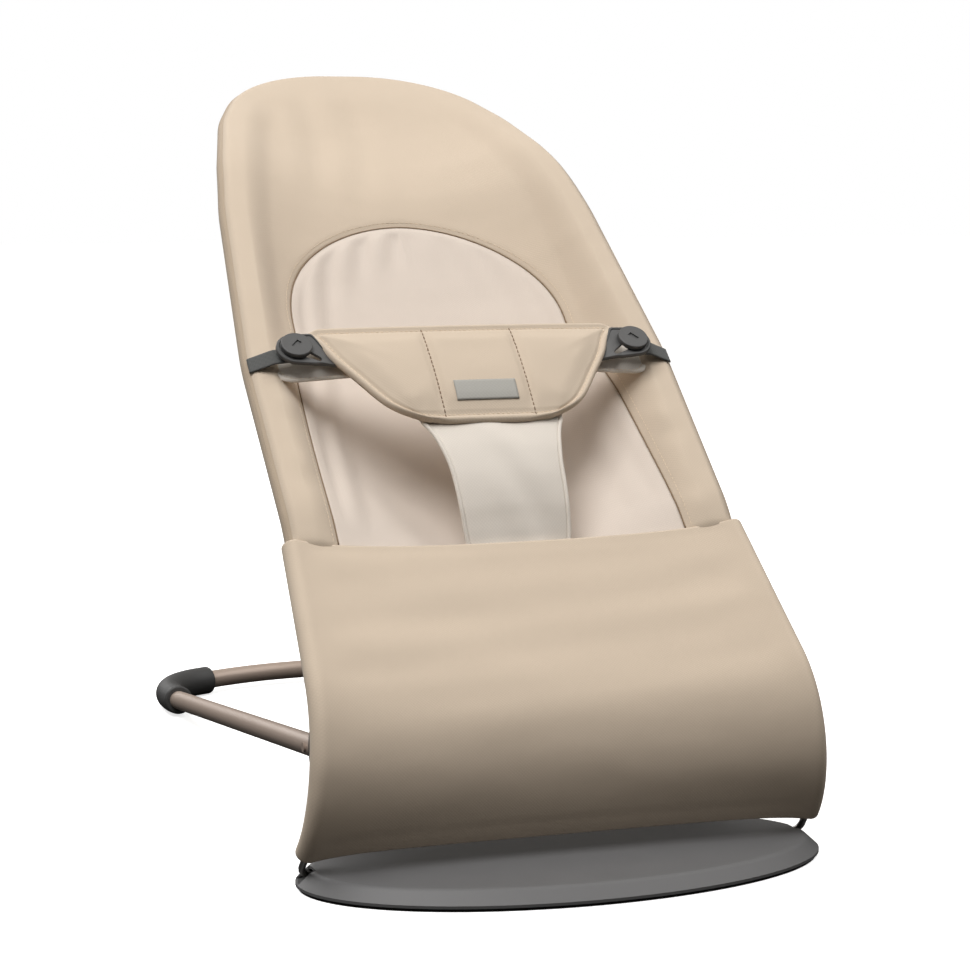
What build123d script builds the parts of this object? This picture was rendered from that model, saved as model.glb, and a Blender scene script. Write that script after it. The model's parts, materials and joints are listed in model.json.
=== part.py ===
from build123d import *
import os
from math import cos, radians, sin, sqrt, tan

# All sizes are millimetres. X is across, Y runs from the front plate to the rear bar, Z is up.
# The origin is on the floor, midway along the object and midway across it.

# Overall stance
overall_length = 793.0
front_y = -overall_length / 2
rear_y = overall_length / 2

# Running and seating clearances
pivot_clearance = 0.05
seat_clearance = 0.05
cloth_clearance = 0.3
cut_overrun = 1.0

# Front plate
plate_half_width = 190.0
plate_half_depth = 96.0
plate_height = 13.5
plate_skirt = 10.0
plate_wall = 1.8
plate_rim_gap = 0.2
plate_edge_round = 6.0
dome_inset_ratio = 0.5
tray_thickness = 2.0
grip_thickness = 2.5
grip_inset = 2.0
saddle_length = 24.0
saddle_margin = 0.1
saddle_spacing = 120.0
saddle_cap_thickness = 0.9
plate_screw_radius = 1.5
plate_screw_head_radius = 2.6
plate_screw_head = 0.8
screw_wire_gap = 1.3

# Front spring bow
wire_radius = 2.5
wire_top_half_width = 166.8
wire_top_at = 116.0
wire_nose_half_width = 179.5
wire_plate_margin = 1.8
wire_foot_bend = 10.0
wire_tray_gap = 0.3
notch_depth = 13.0
notch_front = 13.5
notch_rear = 4.5

# Seat line: a round nose over the plate, a straight rise, then the head bends back
nose_radius = 80.0
nose_setback = 152.0
nose_height = 80.0
hem_angle = 41.0
seat_angle = 40.4
head_angle = 22.1

# Seat hoop tube: half widths at distances up the seat, then up the head
rail_radius = 6.0
rail_wall = 1.2
elbow_at = 140.0
taper_at = 300.0
rail_half_width = 161.0
shoulder_at = 470.0
shoulder_half_width = 147.0
head_bend_at = 529.4
head_bend_half_width = 137.5
brow_at = 82.3
brow_half_width = 119.0
crown_at = 179.7
crown_half_width = 80.0
elbow_bend = 45.0
taper_bend = 400.0
shoulder_bend = 300.0
head_bend = 230.0
brow_bend = 150.0
crown_bend = 100.0

# Cloth cover
sleeve_radius = 9.5
sleeve_lead = 13.0
calf_thickness = 2.7
calf_top = 121.0
calf_sag = 10.0
calf_hem_sag = 1.0
calf_sag_half_width = 172.0
calf_reach = 185.0
casing_top = 98.0
casing_bite = 4.6
panel_thickness = 5.0
panel_start = 100.0
sling_edge_gap = 1.3
sling_foot_half_width = 143.0
lining_thickness = 2.0
lining_gap = 0.6
inner_arch_radius = 112.0
inner_arch_at = 369.0
inner_foot_half_width = 132.0
panel_reach = 120.0
panel_overrun = 10.0
head_trim_at = 40.0
# distance up the seat, how far the cloth sags between the rails, and the height of its edges
sag_line = ((panel_start, 18, -8), (140, 38, -3), (170, 50, 0), (240, 60, 0), (320, 55, 0),
            (400, 42, 0), (470, 31, 0), (560, 19, 0), (640, 11, 0), (708, 4, 0))

# Rear leg
leg_radius = 8.0
leg_wall = 1.2
leg_half_width = 150.0
bow_radius = 241.0
bow_angle = 24.5
leg_corner_bend = 60.0
leg_knee_bend = 150.0
leg_knee_lead = 52.0
boot_radius = 12.5
boot_front_reach = 20.0
boot_rear_reach = 51.6
boot_end_round = 2.0

# Hinge hubs
hub_setback = 150.0
hub_height = 81.0
hub_radius = 24.0
eye_radius = 20.0
eye_thickness = 11.0
eye_neck_half = 8.5
eye_tube_start = 30.0
eye_spigot_end = 68.0
washer_thickness = 1.5
washer_gap = 0.15
washer_radius = 17.0
washer_clearance = 0.2
inner_cheek = 9.0
outer_cheek = 4.0
hub_block_half = 9.0
hub_block_top = 62.0
hub_block_floor = 31.5
rail_socket_floor = 35.0
cross_tube_rise = 44.0
cross_tube_wall = 2.0
cross_tube_socket = 8.3
pin_radius = 4.0
pin_head_radius = 7.0
pin_head = 2.5
rivet_radius = 2.0
rivet_head_radius = 3.5
rivet_head = 1.2
rail_rivet_rise = 56.0

# Spring clamps
clamp_start = 100.0
clamp_length = 14.0
clamp_rail_radius = 8.5
clamp_wire_radius = 3.7
clamp_web = 5.0
clamp_web_length = 11.2
clamp_screw_radius = 1.5
clamp_screw_head_radius = 3.0
clamp_screw_head = 1.5

# Harness bib
bib_half_width = 122.0
bib_side_half_width = 109.0
bib_low_half_width = 66.0
bib_top = 315.0
bib_side = 283.0
bib_bottom = 219.0
bib_top_dip = 5.0
bib_corner = 8.0
bib_side_bend = 40.0
bib_low_bend = 45.0
bib_section_margin = 3.0
bib_overrun = 5.0
bib_edge_top = 20.0
bib_edge_bottom = 22.0
bib_crown_top = 31.5
bib_crown_bottom = 22.0
bib_edge_thickness = 4.0
bib_middle_thickness = 10.0
channel_offset = 35.0
channel_radius = 1.3
channel_overrun = 10.0
patch_length = 48.0
patch_width = 17.0
patch_thickness = 0.8
patch_at = 236.0
patch_gap = 0.1

# Crotch strip
strip_thickness = 3.0
# distance up the seat, height over the rails and half width
strip_line = ((101, -15.2, 39), (121, -13.4, 39), (150, 5, 41), (177, 15.5, 43), (200, 19, 47),
              (218, 20, 53))

# Buckles
disc_radius = 11.8
disc_thickness = 3.5
disc_round = 1.0
disc_half_width = 133.4
disc_at = 293.6
disc_height = 25.7
buckle_turn = 41.4
buckle_thickness = 3.0
buckle_radius = 14.5
buckle_tip = (35.5, -0.5)
buckle_tip_radius = 3.0
buckle_ear = (1.0, 14.0)
buckle_ear_radius = 4.0
buckle_round = 0.8
stud_radius = 3.0
stud_travel = 9.0
slot_end = 20.4
slot_end_radius = 2.6
flange_radius = 6.5
flange_thickness = 1.6
buckle_gap = 0.3
grip_slot_length = 8.0
grip_slot_width = 4.0
grip_slot_depth = 1.2
strap_width = 14.0
strap_thickness = 1.4
strap_at = 292.0
strap_tuck = 2.9
strap_knee = 11.0
strap_knee_height = 17.3
strap_crest = 2.5
strap_crest_rise = 2.5
strap_end = 6.5
strap_end_drop = 1.9
strap_bend = 6.0
tab_radius = 17.0
tab_length = 42.0
tab_tip_radius = 11.0
tab_thickness = 2.0
tab_shift = 5.0
tab_height = 9.5
tab_rise = 7.2

# Worked-out places
nose_y = front_y + nose_setback
nose_centre = Vector(0, nose_y, nose_height)
seat_dir = Vector(0, cos(radians(seat_angle)), sin(radians(seat_angle)))
seat_up = Vector(0, -sin(radians(seat_angle)), cos(radians(seat_angle)))
head_dir = Vector(0, cos(radians(head_angle)), sin(radians(head_angle)))
head_up = Vector(0, -sin(radians(head_angle)), cos(radians(head_angle)))
seat_origin = nose_centre + seat_up * nose_radius
seat_plane = Plane(seat_origin, x_dir=(1, 0, 0), z_dir=seat_up)
head_origin = seat_origin + seat_dir * head_bend_at
head_plane = Plane(head_origin, x_dir=(1, 0, 0), z_dir=head_up)
hub_y = front_y + hub_setback
tray_top = grip_thickness + tray_thickness
pivot_z = tray_top + wire_tray_gap + wire_radius
wire_foot_half_width = plate_half_width - wire_plate_margin - wire_radius
screw_spread = wire_radius + screw_wire_gap + plate_screw_radius
saddle_half_depth = screw_spread + plate_screw_head_radius + saddle_margin
hem_out = Vector(0, -cos(radians(hem_angle)), -sin(radians(hem_angle)))
hem_down = Vector(0, sin(radians(hem_angle)), -cos(radians(hem_angle)))
hem_point = nose_centre + hem_out * nose_radius
wire_foot = hem_point + hem_down * ((pivot_z - hem_point.Z) / hem_down.Z)
pivot_y = wire_foot.Y


def on_seat(x, along, height):
    """Point on the seat: across, up along the rails, and out of their plane."""
    return seat_origin + Vector(x, 0, 0) + seat_dir * along + seat_up * height


def on_head(x, along, height):
    """Point on the head part, measured from the bend."""
    return head_origin + Vector(x, 0, 0) + head_dir * along + head_up * height


def flip(points):
    """The same points on the other side."""
    return [Vector(-p.X, p.Y, p.Z) for p in points]


def both_ways(points):
    """A left-hand row of points carried on across to the right."""
    return points + flip(points)[::-1]


def rod(path, radius):
    """Round bar along a path."""
    start = Plane(path @ 0, z_dir=path % 0)
    return sweep(start * Circle(radius), path=path)


def tube(path, outer, inner):
    """Round tube along a path."""
    return rod(path, outer) - rod(path, inner)


def across(x_low, x_high, y, z, radius):
    """Cylinder along X."""
    lying = Location((x_low, y, z), (0, 90, 0))
    middle = (Align.CENTER, Align.CENTER, Align.MIN)
    return lying * Cylinder(radius, x_high - x_low, align=middle)


def block(x_low, x_high, y_low, y_high, z_low, z_high):
    """Box between two corners."""
    size = (x_high - x_low, y_high - y_low, z_high - z_low)
    return Pos(x_low, y_low, z_low) * Box(*size, align=(Align.MIN, Align.MIN, Align.MIN))


def upright(x, y, z_low, z_high, radius):
    """Cylinder along Z."""
    bottom = (Align.CENTER, Align.CENTER, Align.MIN)
    return Pos(x, y, z_low) * Cylinder(radius, z_high - z_low, align=bottom)


def oval(half_width, half_depth, z):
    """Oval face of the front plate at a height."""
    return Pos(0, front_y + plate_half_depth, z) * Ellipse(half_width, half_depth)


# Front plate

def oval_slab(inset, z_low, z_high):
    """Oval slice of the plate between two heights."""
    return extrude(oval(plate_half_width - inset, plate_half_depth - inset, z_low), z_high - z_low)


def oval_dome(inset, drop):
    """Plate's skirt and top, drawn in by a wall all round."""
    low = oval(plate_half_width - inset, plate_half_depth - inset, tray_top)
    top_inset = plate_skirt + inset * dome_inset_ratio
    high = oval(plate_half_width - top_inset, plate_half_depth - top_inset, plate_height - drop)
    return loft([low, high], ruled=True)


def wire_notches():
    """Open notches at the plate's two ends, where the spring bow comes out."""
    inner = plate_half_width - notch_depth
    outer = plate_half_width + cut_overrun
    front = pivot_y - notch_front
    right = block(inner, outer, front, pivot_y + notch_rear, tray_top, plate_height + cut_overrun)
    return right + mirror(right, about=Plane.YZ)


def saddle_places():
    """Middles of the three saddles under the bow's cross run."""
    return [(side * saddle_spacing, pivot_y) for side in (-1, 0, 1)]


def screw_places():
    """Two screws at each saddle, before and behind the wire."""
    return [(x, y + side * screw_spread) for x, y in saddle_places() for side in (-1, 1)]


def saddle_box(z_low, z_high):
    """The three saddle blocks between two heights."""
    half_length = saddle_length / 2
    boxes = []
    for x, y in saddle_places():
        front = y - saddle_half_depth
        rear = y + saddle_half_depth
        boxes.append(block(x - half_length, x + half_length, front, rear, z_low, z_high))
    return Part() + boxes


def screw_holes(z_low, z_high):
    """Holes for the saddle screws between two heights."""
    holes = [upright(x, y, z_low, z_high, plate_screw_radius + seat_clearance)
             for x, y in screw_places()]
    return Part() + holes


saddle_cap_top = pivot_z + wire_radius + saddle_cap_thickness
wire_channel = across(-plate_half_width, plate_half_width, pivot_y, pivot_z, wire_radius + pivot_clearance)


def make_plate_tray():
    """Plate's floor with the lower halves of the saddles."""
    inset = plate_wall + plate_rim_gap
    tray = oval_slab(inset, grip_thickness, tray_top) + saddle_box(tray_top, pivot_z)
    return tray - wire_channel - screw_holes(tray_top, pivot_z)


def make_plate_cover():
    """Hollow top of the plate: a soft top edge, a sloping skirt and an upright rim round the tray."""
    dome = oval_dome(0, 0)
    dome = fillet(dome.edges().group_by(Axis.Z)[-1], radius=plate_edge_round)
    dome += oval_slab(0, grip_thickness, tray_top)
    dome -= oval_slab(plate_wall, grip_thickness, tray_top)
    return dome - oval_dome(plate_wall, plate_wall) - wire_notches()


def make_plate_grip():
    """Rubber sheet that stands on the floor."""
    return oval_slab(grip_inset, 0, grip_thickness)


def make_saddle_caps():
    """Caps that hold the wire down in its saddles."""
    return saddle_box(pivot_z, saddle_cap_top) - wire_channel - screw_holes(pivot_z, saddle_cap_top)


def make_plate_screws():
    """Screws that hold the caps."""
    screws = []
    for x, y in screw_places():
        shank = upright(x, y, tray_top, saddle_cap_top, plate_screw_radius)
        head = upright(x, y, saddle_cap_top, saddle_cap_top + plate_screw_head, plate_screw_head_radius)
        screws.append(shank + head)
    return screws


# Front spring bow

def wire_points():
    """Clamped end, nose corner and foot of the left half of the bow."""
    top = on_seat(-wire_top_half_width, wire_top_at, 0)
    gap = seat_origin - wire_foot
    across_lines = hem_down.Y * seat_dir.Z - hem_down.Z * seat_dir.Y
    corner = wire_foot + hem_down * ((gap.Y * seat_dir.Z - gap.Z * seat_dir.Y) / across_lines)
    return [top, corner - Vector(wire_nose_half_width, 0, 0), wire_foot - Vector(wire_foot_half_width, 0, 0)]


def wire_at(along):
    """Point on the left end of the bow at a distance up the seat."""
    top = wire_points()[0]
    run = (top - wire_points()[1]).normalized()
    return top - run * ((wire_top_at - along) / run.dot(seat_dir))


def make_spring_bow():
    """Bent wire: up from the plate, round the nose and back to the hoop."""
    radii = [nose_radius, wire_foot_bend, wire_foot_bend, nose_radius]
    return rod(FilletPolyline(*both_ways(wire_points()), radius=radii), wire_radius)


# Seat hoop

def hoop_points():
    """Left half of the hoop, from its hub to the arch's corner."""
    elbow = on_seat(-rail_half_width, elbow_at, 0)
    hub = Vector(-leg_half_width, hub_y, hub_height)
    foot = hub + (elbow - hub).normalized() * rail_socket_floor
    return [foot, elbow,
            on_seat(-rail_half_width, taper_at, 0),
            on_seat(-shoulder_half_width, shoulder_at, 0),
            on_seat(-head_bend_half_width, head_bend_at, 0),
            on_head(-brow_half_width, brow_at, 0),
            on_head(-crown_half_width, crown_at, 0)]


hoop_radii = [elbow_bend, taper_bend, shoulder_bend, head_bend, brow_bend, crown_bend]


def rail_at(along):
    """Point on the hoop's left foot at a distance up the seat."""
    foot = hoop_points()[0]
    elbow = hoop_points()[1]
    run = (elbow - foot).normalized()
    return elbow - run * ((elbow_at - along) / run.dot(seat_dir))


def make_seat_hoop():
    """Tube from one hub up the side, over the head and down to the other."""
    path = FilletPolyline(*both_ways(hoop_points()), radius=hoop_radii + hoop_radii[::-1])
    return tube(path, rail_radius, rail_radius - rail_wall)


def make_edge_sleeve():
    """Cloth sleeve sewn round the hoop, from the calf panel up and over the head."""
    elbow = hoop_points()[1]
    start = elbow + (hoop_points()[0] - elbow).normalized() * sleeve_lead
    path = FilletPolyline(*both_ways([start] + hoop_points()[1:]), radius=hoop_radii + hoop_radii[::-1])
    return tube(path, sleeve_radius, rail_radius + cloth_clearance)


# Rear leg

bow_apex_y = rear_y - leg_radius
bow_vertex_y = bow_apex_y + bow_radius * (1 / cos(radians(bow_angle)) - 1)
leg_corner_y = bow_vertex_y - leg_half_width * tan(radians(bow_angle))
leg_hub = Vector(-leg_half_width, hub_y, hub_height)
leg_knee = Vector(-leg_half_width, leg_corner_y - leg_knee_lead, boot_radius)
leg_run = (leg_knee - leg_hub).normalized()
leg_corner = Vector(-leg_half_width, leg_corner_y, boot_radius)
bow_vertex = Vector(0, bow_vertex_y, boot_radius)
bow_run = (bow_vertex - leg_corner).normalized()


def make_leg_tube():
    """U-shaped tube with a bowed rear bar."""
    half = [leg_hub + leg_run * eye_tube_start, leg_knee, leg_corner]
    points = half + [bow_vertex] + flip(half)[::-1]
    radii = [leg_knee_bend, leg_corner_bend, bow_radius, leg_corner_bend, leg_knee_bend]
    path = FilletPolyline(*points, radius=radii)
    return tube(path, leg_radius, leg_radius - leg_wall) - leg_rivet_holes(seat_clearance)


def make_boot():
    """Boot on the leg's corner, with rounded ends."""
    front = leg_knee - leg_run * boot_front_reach
    rear = leg_corner + bow_run * boot_rear_reach
    points = [front, leg_knee, leg_corner, rear]
    path = FilletPolyline(*points, radius=[leg_knee_bend, leg_corner_bend])
    boot = rod(path, boot_radius)
    ends = boot.faces().filter_by(GeomType.PLANE).edges()
    return fillet(ends, radius=boot_end_round) - rod(path, leg_radius + seat_clearance)


# Hinge hubs, left side

eye_half = eye_thickness / 2
slot_half = eye_half + washer_thickness + 2 * washer_gap
hub_inner_x = -leg_half_width + slot_half + inner_cheek
hub_outer_x = -leg_half_width - slot_half - outer_cheek
cross_tube_end = -hub_inner_x + cross_tube_socket
leg_frame = Plane(leg_hub, x_dir=(1, 0, 0), z_dir=Vector(0, -leg_run.Z, leg_run.Y))
rivet_along = (eye_tube_start + eye_spigot_end) / 2


foot_run = hoop_points()[1] - leg_hub
hub_frame = Plane(leg_hub, x_dir=(1, 0, 0), z_dir=Vector(0, foot_run.Y, foot_run.Z).normalized())


def hub_bar(x_low, x_high, rise, radius):
    """Cylinder along X in the hub's own frame."""
    middle = (Align.CENTER, Align.CENTER, Align.MIN)
    lying = Location((x_low + leg_half_width, 0, rise), (0, 90, 0))
    return hub_frame.location * lying * Cylinder(radius, x_high - x_low, align=middle)


def hub_box(x_low, x_high, half, z_low, z_high):
    """Box in the hub's own frame."""
    box = block(x_low + leg_half_width, x_high + leg_half_width, -half, half, z_low, z_high)
    return hub_frame.location * box


def leg_rivet_hole(extra):
    """Hole across the left leg end."""
    reach = leg_radius + cut_overrun
    bar = Rot(0, 90, 0) * Cylinder(rivet_radius + extra, 2 * reach)
    return leg_frame.location * Pos(0, rivet_along, 0) * bar


def leg_rivet_holes(extra):
    """Holes across both leg ends."""
    hole = leg_rivet_hole(extra)
    return hole + mirror(hole, about=Plane.YZ)


def make_hub_housing():
    """Clevis on the hoop's foot, with sockets for the hoop and the cross tube."""
    body = hub_bar(hub_outer_x, hub_inner_x, 0, hub_radius)
    body += hub_box(hub_outer_x, hub_inner_x, hub_block_half, 0, hub_block_top)
    far = 2 * hub_radius
    body -= hub_box(-leg_half_width - slot_half, -leg_half_width + slot_half, far, -far, hub_block_floor)
    body -= hub_bar(hub_outer_x, hub_inner_x, 0, pin_radius + pivot_clearance)
    socket_radius = rail_radius + seat_clearance
    body -= rod(Line(hoop_points()[0], hoop_points()[1]), socket_radius)
    body -= hub_bar(-cross_tube_end, hub_inner_x, cross_tube_rise, socket_radius)
    return body - rail_rivet_hole()


def make_cross_tube():
    """Tube between the two hubs."""
    outer = hub_bar(-cross_tube_end, cross_tube_end, cross_tube_rise, rail_radius)
    return outer - hub_bar(-cross_tube_end, cross_tube_end, cross_tube_rise, rail_radius - cross_tube_wall)


def make_leg_eye():
    """Leg end: a disc that turns in the clevis, and a spigot inside the leg tube."""
    disc = Rot(0, 90, 0) * Cylinder(eye_radius, eye_thickness)
    forward = (Align.CENTER, Align.MIN, Align.CENTER)
    neck = Box(eye_thickness, eye_tube_start, 2 * eye_neck_half, align=forward)
    bottom = (Align.CENTER, Align.CENTER, Align.MIN)
    spigot_radius = leg_radius - leg_wall - seat_clearance
    spigot = Pos(0, eye_tube_start, 0) * Rot(-90, 0, 0) * Cylinder(
        spigot_radius, eye_spigot_end - eye_tube_start, align=bottom)
    pin_bore = Rot(0, 90, 0) * Cylinder(pin_radius + pivot_clearance, eye_thickness)
    return leg_frame.location * (disc + neck + spigot - pin_bore) - leg_rivet_hole(seat_clearance)


def make_washers():
    """Two friction washers, one on each side of the leg's eye."""
    inner = -leg_half_width + eye_half + washer_gap
    outer = -leg_half_width - eye_half - washer_gap - washer_thickness
    bore = pin_radius + washer_clearance
    rings = []
    for x in (outer, inner):
        ring = across(x, x + washer_thickness, hub_y, hub_height, washer_radius)
        rings.append(ring - across(x, x + washer_thickness, hub_y, hub_height, bore))
    return rings


def make_hinge_pin():
    """Headed pin through the hub."""
    pin = across(hub_outer_x, hub_inner_x, hub_y, hub_height, pin_radius)
    pin += across(hub_outer_x - pin_head, hub_outer_x, hub_y, hub_height, pin_head_radius)
    pin += across(hub_inner_x, hub_inner_x + pin_head, hub_y, hub_height, pin_head_radius)
    return pin


def make_leg_rivet():
    """Rivet that holds the leg tube on its spigot."""
    bar = Rot(0, 90, 0) * Cylinder(rivet_radius, 2 * leg_radius)
    rivet = bar
    for side in (-1, 1):
        rivet += Pos(side * (leg_radius + rivet_head / 2), 0, 0) * Rot(0, 90, 0) * Cylinder(
            rivet_head_radius, rivet_head)
    return leg_frame.location * Pos(0, rivet_along, 0) * rivet


def make_spring_clamp():
    """Clip that ties the bow's end to the hoop's foot."""
    end = clamp_start + clamp_length
    rail = Line(rail_at(clamp_start), rail_at(end))
    wire = Line(wire_at(clamp_start), wire_at(end))
    body = rod(rail, clamp_rail_radius) + rod(wire, clamp_wire_radius)
    low = rail @ 0.5
    reach = (wire @ 0.5) - low
    web = Plane(low, x_dir=seat_dir, z_dir=reach.normalized())
    body += extrude(web * Rectangle(clamp_web_length, clamp_web), reach.length - wire_radius)
    longer = Line(rail_at(clamp_start - clamp_length), rail_at(end + clamp_length))
    body -= rod(longer, rail_radius + seat_clearance)
    wire_longer = Line(wire_at(clamp_start - clamp_length), wire_at(wire_top_at))
    return body - rod(wire_longer, wire_radius + seat_clearance)


def make_clamp_screw():
    """Screw through the clip into the hoop tube, from behind."""
    middle = rail_at(clamp_start + clamp_length / 2)
    run = (rail_at(elbow_at) - rail_at(clamp_start)).normalized()
    behind = run.cross(Vector(1, 0, 0)).normalized()
    inner = rail_radius - 2 * rail_wall
    bottom = (Align.CENTER, Align.CENTER, Align.MIN)
    shank = Pos(0, 0, inner) * Cylinder(clamp_screw_radius, clamp_rail_radius - inner, align=bottom)
    head = Pos(0, 0, clamp_rail_radius) * Cylinder(clamp_screw_head_radius, clamp_screw_head, align=bottom)
    return Plane(middle, z_dir=behind).location * (shank + head)


# Cloth cover

def calf_curve(x, offset):
    """Side view of the calf panel: down the seat line and round the nose, flatter at the hem."""
    hang = 1 - (x / calf_sag_half_width) ** 2
    sag = calf_sag * hang
    hem_sag = calf_hem_sag * hang
    drop = sag - hem_sag
    radius = nose_radius - hem_sag + offset
    middle = nose_centre + Vector(x, 0, 0)
    centre = middle - seat_up * drop
    lean = hem_out.dot(seat_up)
    reach = sqrt(radius ** 2 - drop ** 2 * (1 - lean ** 2)) - drop * lean
    end = middle + hem_out * reach
    turn = centre + seat_up * radius
    halfway = centre + (seat_up + (end - centre).normalized()).normalized() * radius
    top = on_seat(x, calf_top, offset - sag)
    return [Line(top, turn).edge(), ThreePointArc(turn, halfway, end).edge()]


def calf_section(x):
    """Upright slice of the calf panel at a distance across."""
    outer = calf_curve(x, calf_thickness / 2)
    inner = calf_curve(x, -calf_thickness / 2)
    top = Line(outer[0] @ 0, inner[0] @ 0).edge()
    hem = Line(outer[1] @ 1, inner[1] @ 1).edge()
    return make_face(outer + inner + [top, hem])


def make_calf_panel():
    """Sagging front panel with a casing down each side for the bow."""
    panel = loft([calf_section(-calf_reach), calf_section(0), calf_section(calf_reach)])
    top = wire_at(calf_top)
    foot = wire_points()[2]
    hem = foot + (wire_points()[1] - foot).normalized() * (hem_point - wire_foot).length
    lean = (top.X - hem.X) / (top.Z - hem.Z)
    low = -hem.X + lean * hem.Z - casing_bite
    high_z = top.Z + calf_sag
    high = low - lean * high_z
    front = Plane.XZ * Polygon((-low, 0), (low, 0), (high, high_z), (-high, high_z), align=None)
    panel &= extrude(front, overall_length, both=True)
    path = FilletPolyline(wire_at(casing_top), wire_points()[1], hem, radius=nose_radius)
    bore = wire_radius + cloth_clearance
    casing = rod(path, bore + calf_thickness)
    opening = rod(path, bore)
    panel = panel + casing + right_hand(casing)
    return panel - opening - right_hand(opening)


def rail_x(along):
    """Half width between the rails at a distance up the seat and on up the head."""
    stations = [(0, leg_half_width), (elbow_at, rail_half_width), (taper_at, rail_half_width),
                (shoulder_at, shoulder_half_width), (head_bend_at, head_bend_half_width),
                (head_bend_at + brow_at, brow_half_width), (head_bend_at + crown_at, crown_half_width)]
    for (low, low_x), (high, high_x) in zip(stations, stations[1:]):
        if along <= high:
            return low_x + (high_x - low_x) * (along - low) / (high - low)
    return crown_half_width


def sling_section(along, sag, top, bottom):
    """Cross section of the cloth that hangs between the two rails."""
    half = rail_x(along) - sleeve_radius - sling_edge_gap
    if along == panel_start:
        half = sling_foot_half_width
    if along > head_bend_at + brow_at:
        half = brow_half_width
    upper = ThreePointArc((-half, top), (0, top - sag), (half, top))
    right = Line((half, top), (half, bottom))
    lower = ThreePointArc((half, bottom), (0, bottom - sag), (-half, bottom))
    left = Line((-half, bottom), (-half, top))
    if along < head_bend_at:
        plane = Plane(on_seat(0, along, 0), x_dir=(1, 0, 0), z_dir=-seat_dir)
    else:
        plane = Plane(on_head(0, along - head_bend_at, 0), x_dir=(1, 0, 0), z_dir=-head_dir)
    return plane * make_face([upper.edge(), right.edge(), lower.edge(), left.edge()])


def make_sling(drop, thickness):
    """Hanging cloth from the calf panel to the arch, trimmed inside the sleeve."""
    sections = [sling_section(along, sag, edge - drop, edge - drop - thickness)
                for along, sag, edge in sag_line]
    return loft(sections) - arch_waste()


def arch_waste():
    """Everything beyond the inside of the arch."""
    right = [(head_bend_half_width, 0), (brow_half_width, brow_at), (crown_half_width, crown_at)]
    left = [(-x, y) for x, y in right[::-1]]
    line = FilletPolyline(*(right + left), radius=[brow_bend, crown_bend, crown_bend, brow_bend])
    face = make_face(line.edges() + Line(left[-1], right[0]).edges())
    inside = offset(face, amount=-(sleeve_radius + sling_edge_gap))
    beyond = Pos(0, head_trim_at + crown_at / 2) * Rectangle(4 * brow_half_width, crown_at)
    return extrude(head_plane * (beyond - inside), panel_reach, both=True)


def inner_outline(extra):
    """Outline of the pale inner panel, seen square to the seat."""
    wide = inner_foot_half_width + extra
    narrow = inner_arch_radius + extra
    low = panel_start - panel_overrun
    right = Line((wide, low), (narrow, inner_arch_at))
    arch = ThreePointArc((narrow, inner_arch_at), (0, inner_arch_at + narrow), (-narrow, inner_arch_at))
    left = Line((-narrow, inner_arch_at), (-wide, low))
    foot = Line((-wide, low), (wide, low))
    face = make_face([right.edge(), arch.edge(), left.edge(), foot.edge()])
    return extrude(seat_plane * face, panel_reach, both=True)


def make_inner_panel(sling):
    """Pale middle of the sling."""
    return sling & inner_outline(0)


def make_outer_panel(sling):
    """Side strips and head of the sling."""
    return sling - inner_outline(cloth_clearance)


def make_back_lining():
    """Lining behind the sling."""
    return make_sling(panel_thickness + lining_gap, lining_thickness)


# Harness

def bib_outline():
    """Bib's outline, seen square to the seat."""
    right = [(bib_half_width, bib_top), (bib_side_half_width, bib_side), (bib_low_half_width, bib_bottom)]
    left = [(-x, y) for x, y in right[::-1]]
    line = FilletPolyline(*(right + left), radius=[bib_side_bend, bib_low_bend, bib_low_bend, bib_side_bend])
    top = ThreePointArc(right[0], (0, bib_top - bib_top_dip), left[-1])
    face = make_face(line.edges() + top.edges())
    return fillet(face.vertices().group_by(Axis.Y)[-1], radius=bib_corner)


def bib_height(along):
    """Height of the bib's front along its middle line."""
    share = (along - bib_bottom) / (bib_top - bib_bottom)
    return bib_crown_bottom + (bib_crown_top - bib_crown_bottom) * share


def bib_edge(along):
    """Height of the bib's front just outside its side edges."""
    share = (along - bib_bottom) / (bib_top - bib_bottom)
    return bib_edge_bottom + (bib_edge_top - bib_edge_bottom) * share


def bib_section(along):
    """Crowned cross section of the bib."""
    half = bib_half_width + bib_section_margin
    crown = bib_height(along)
    edge = bib_edge(along)
    upper = ThreePointArc((-half, edge), (0, crown), (half, edge))
    right = Line((half, edge), (half, edge - bib_edge_thickness))
    lower = ThreePointArc((half, edge - bib_edge_thickness), (0, crown - bib_middle_thickness),
                          (-half, edge - bib_edge_thickness))
    left = Line((-half, edge - bib_edge_thickness), (-half, edge))
    plane = Plane(on_seat(0, along, 0), x_dir=(1, 0, 0), z_dir=-seat_dir)
    return plane * make_face([upper.edge(), right.edge(), lower.edge(), left.edge()])


def channel_height(along):
    """Height of the bib's front at a stitched channel."""
    share = (channel_offset / (bib_half_width + bib_section_margin)) ** 2
    return bib_height(along) - (bib_height(along) - bib_edge(along)) * share


def stitched_channel(x):
    """Groove of a stitched line down the bib's front."""
    low = bib_bottom - channel_overrun
    high = bib_top + channel_overrun
    line = Line(on_seat(x, low, channel_height(low)), on_seat(x, high, channel_height(high)))
    return rod(line, channel_radius)


def make_bib():
    """Padded bib with two stitched channels."""
    pad = loft([bib_section(bib_bottom - bib_overrun), bib_section(bib_top + bib_overrun)], ruled=True)
    pad &= extrude(seat_plane * bib_outline(), panel_reach, both=True)
    return pad - stitched_channel(channel_offset) - stitched_channel(-channel_offset)


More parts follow.
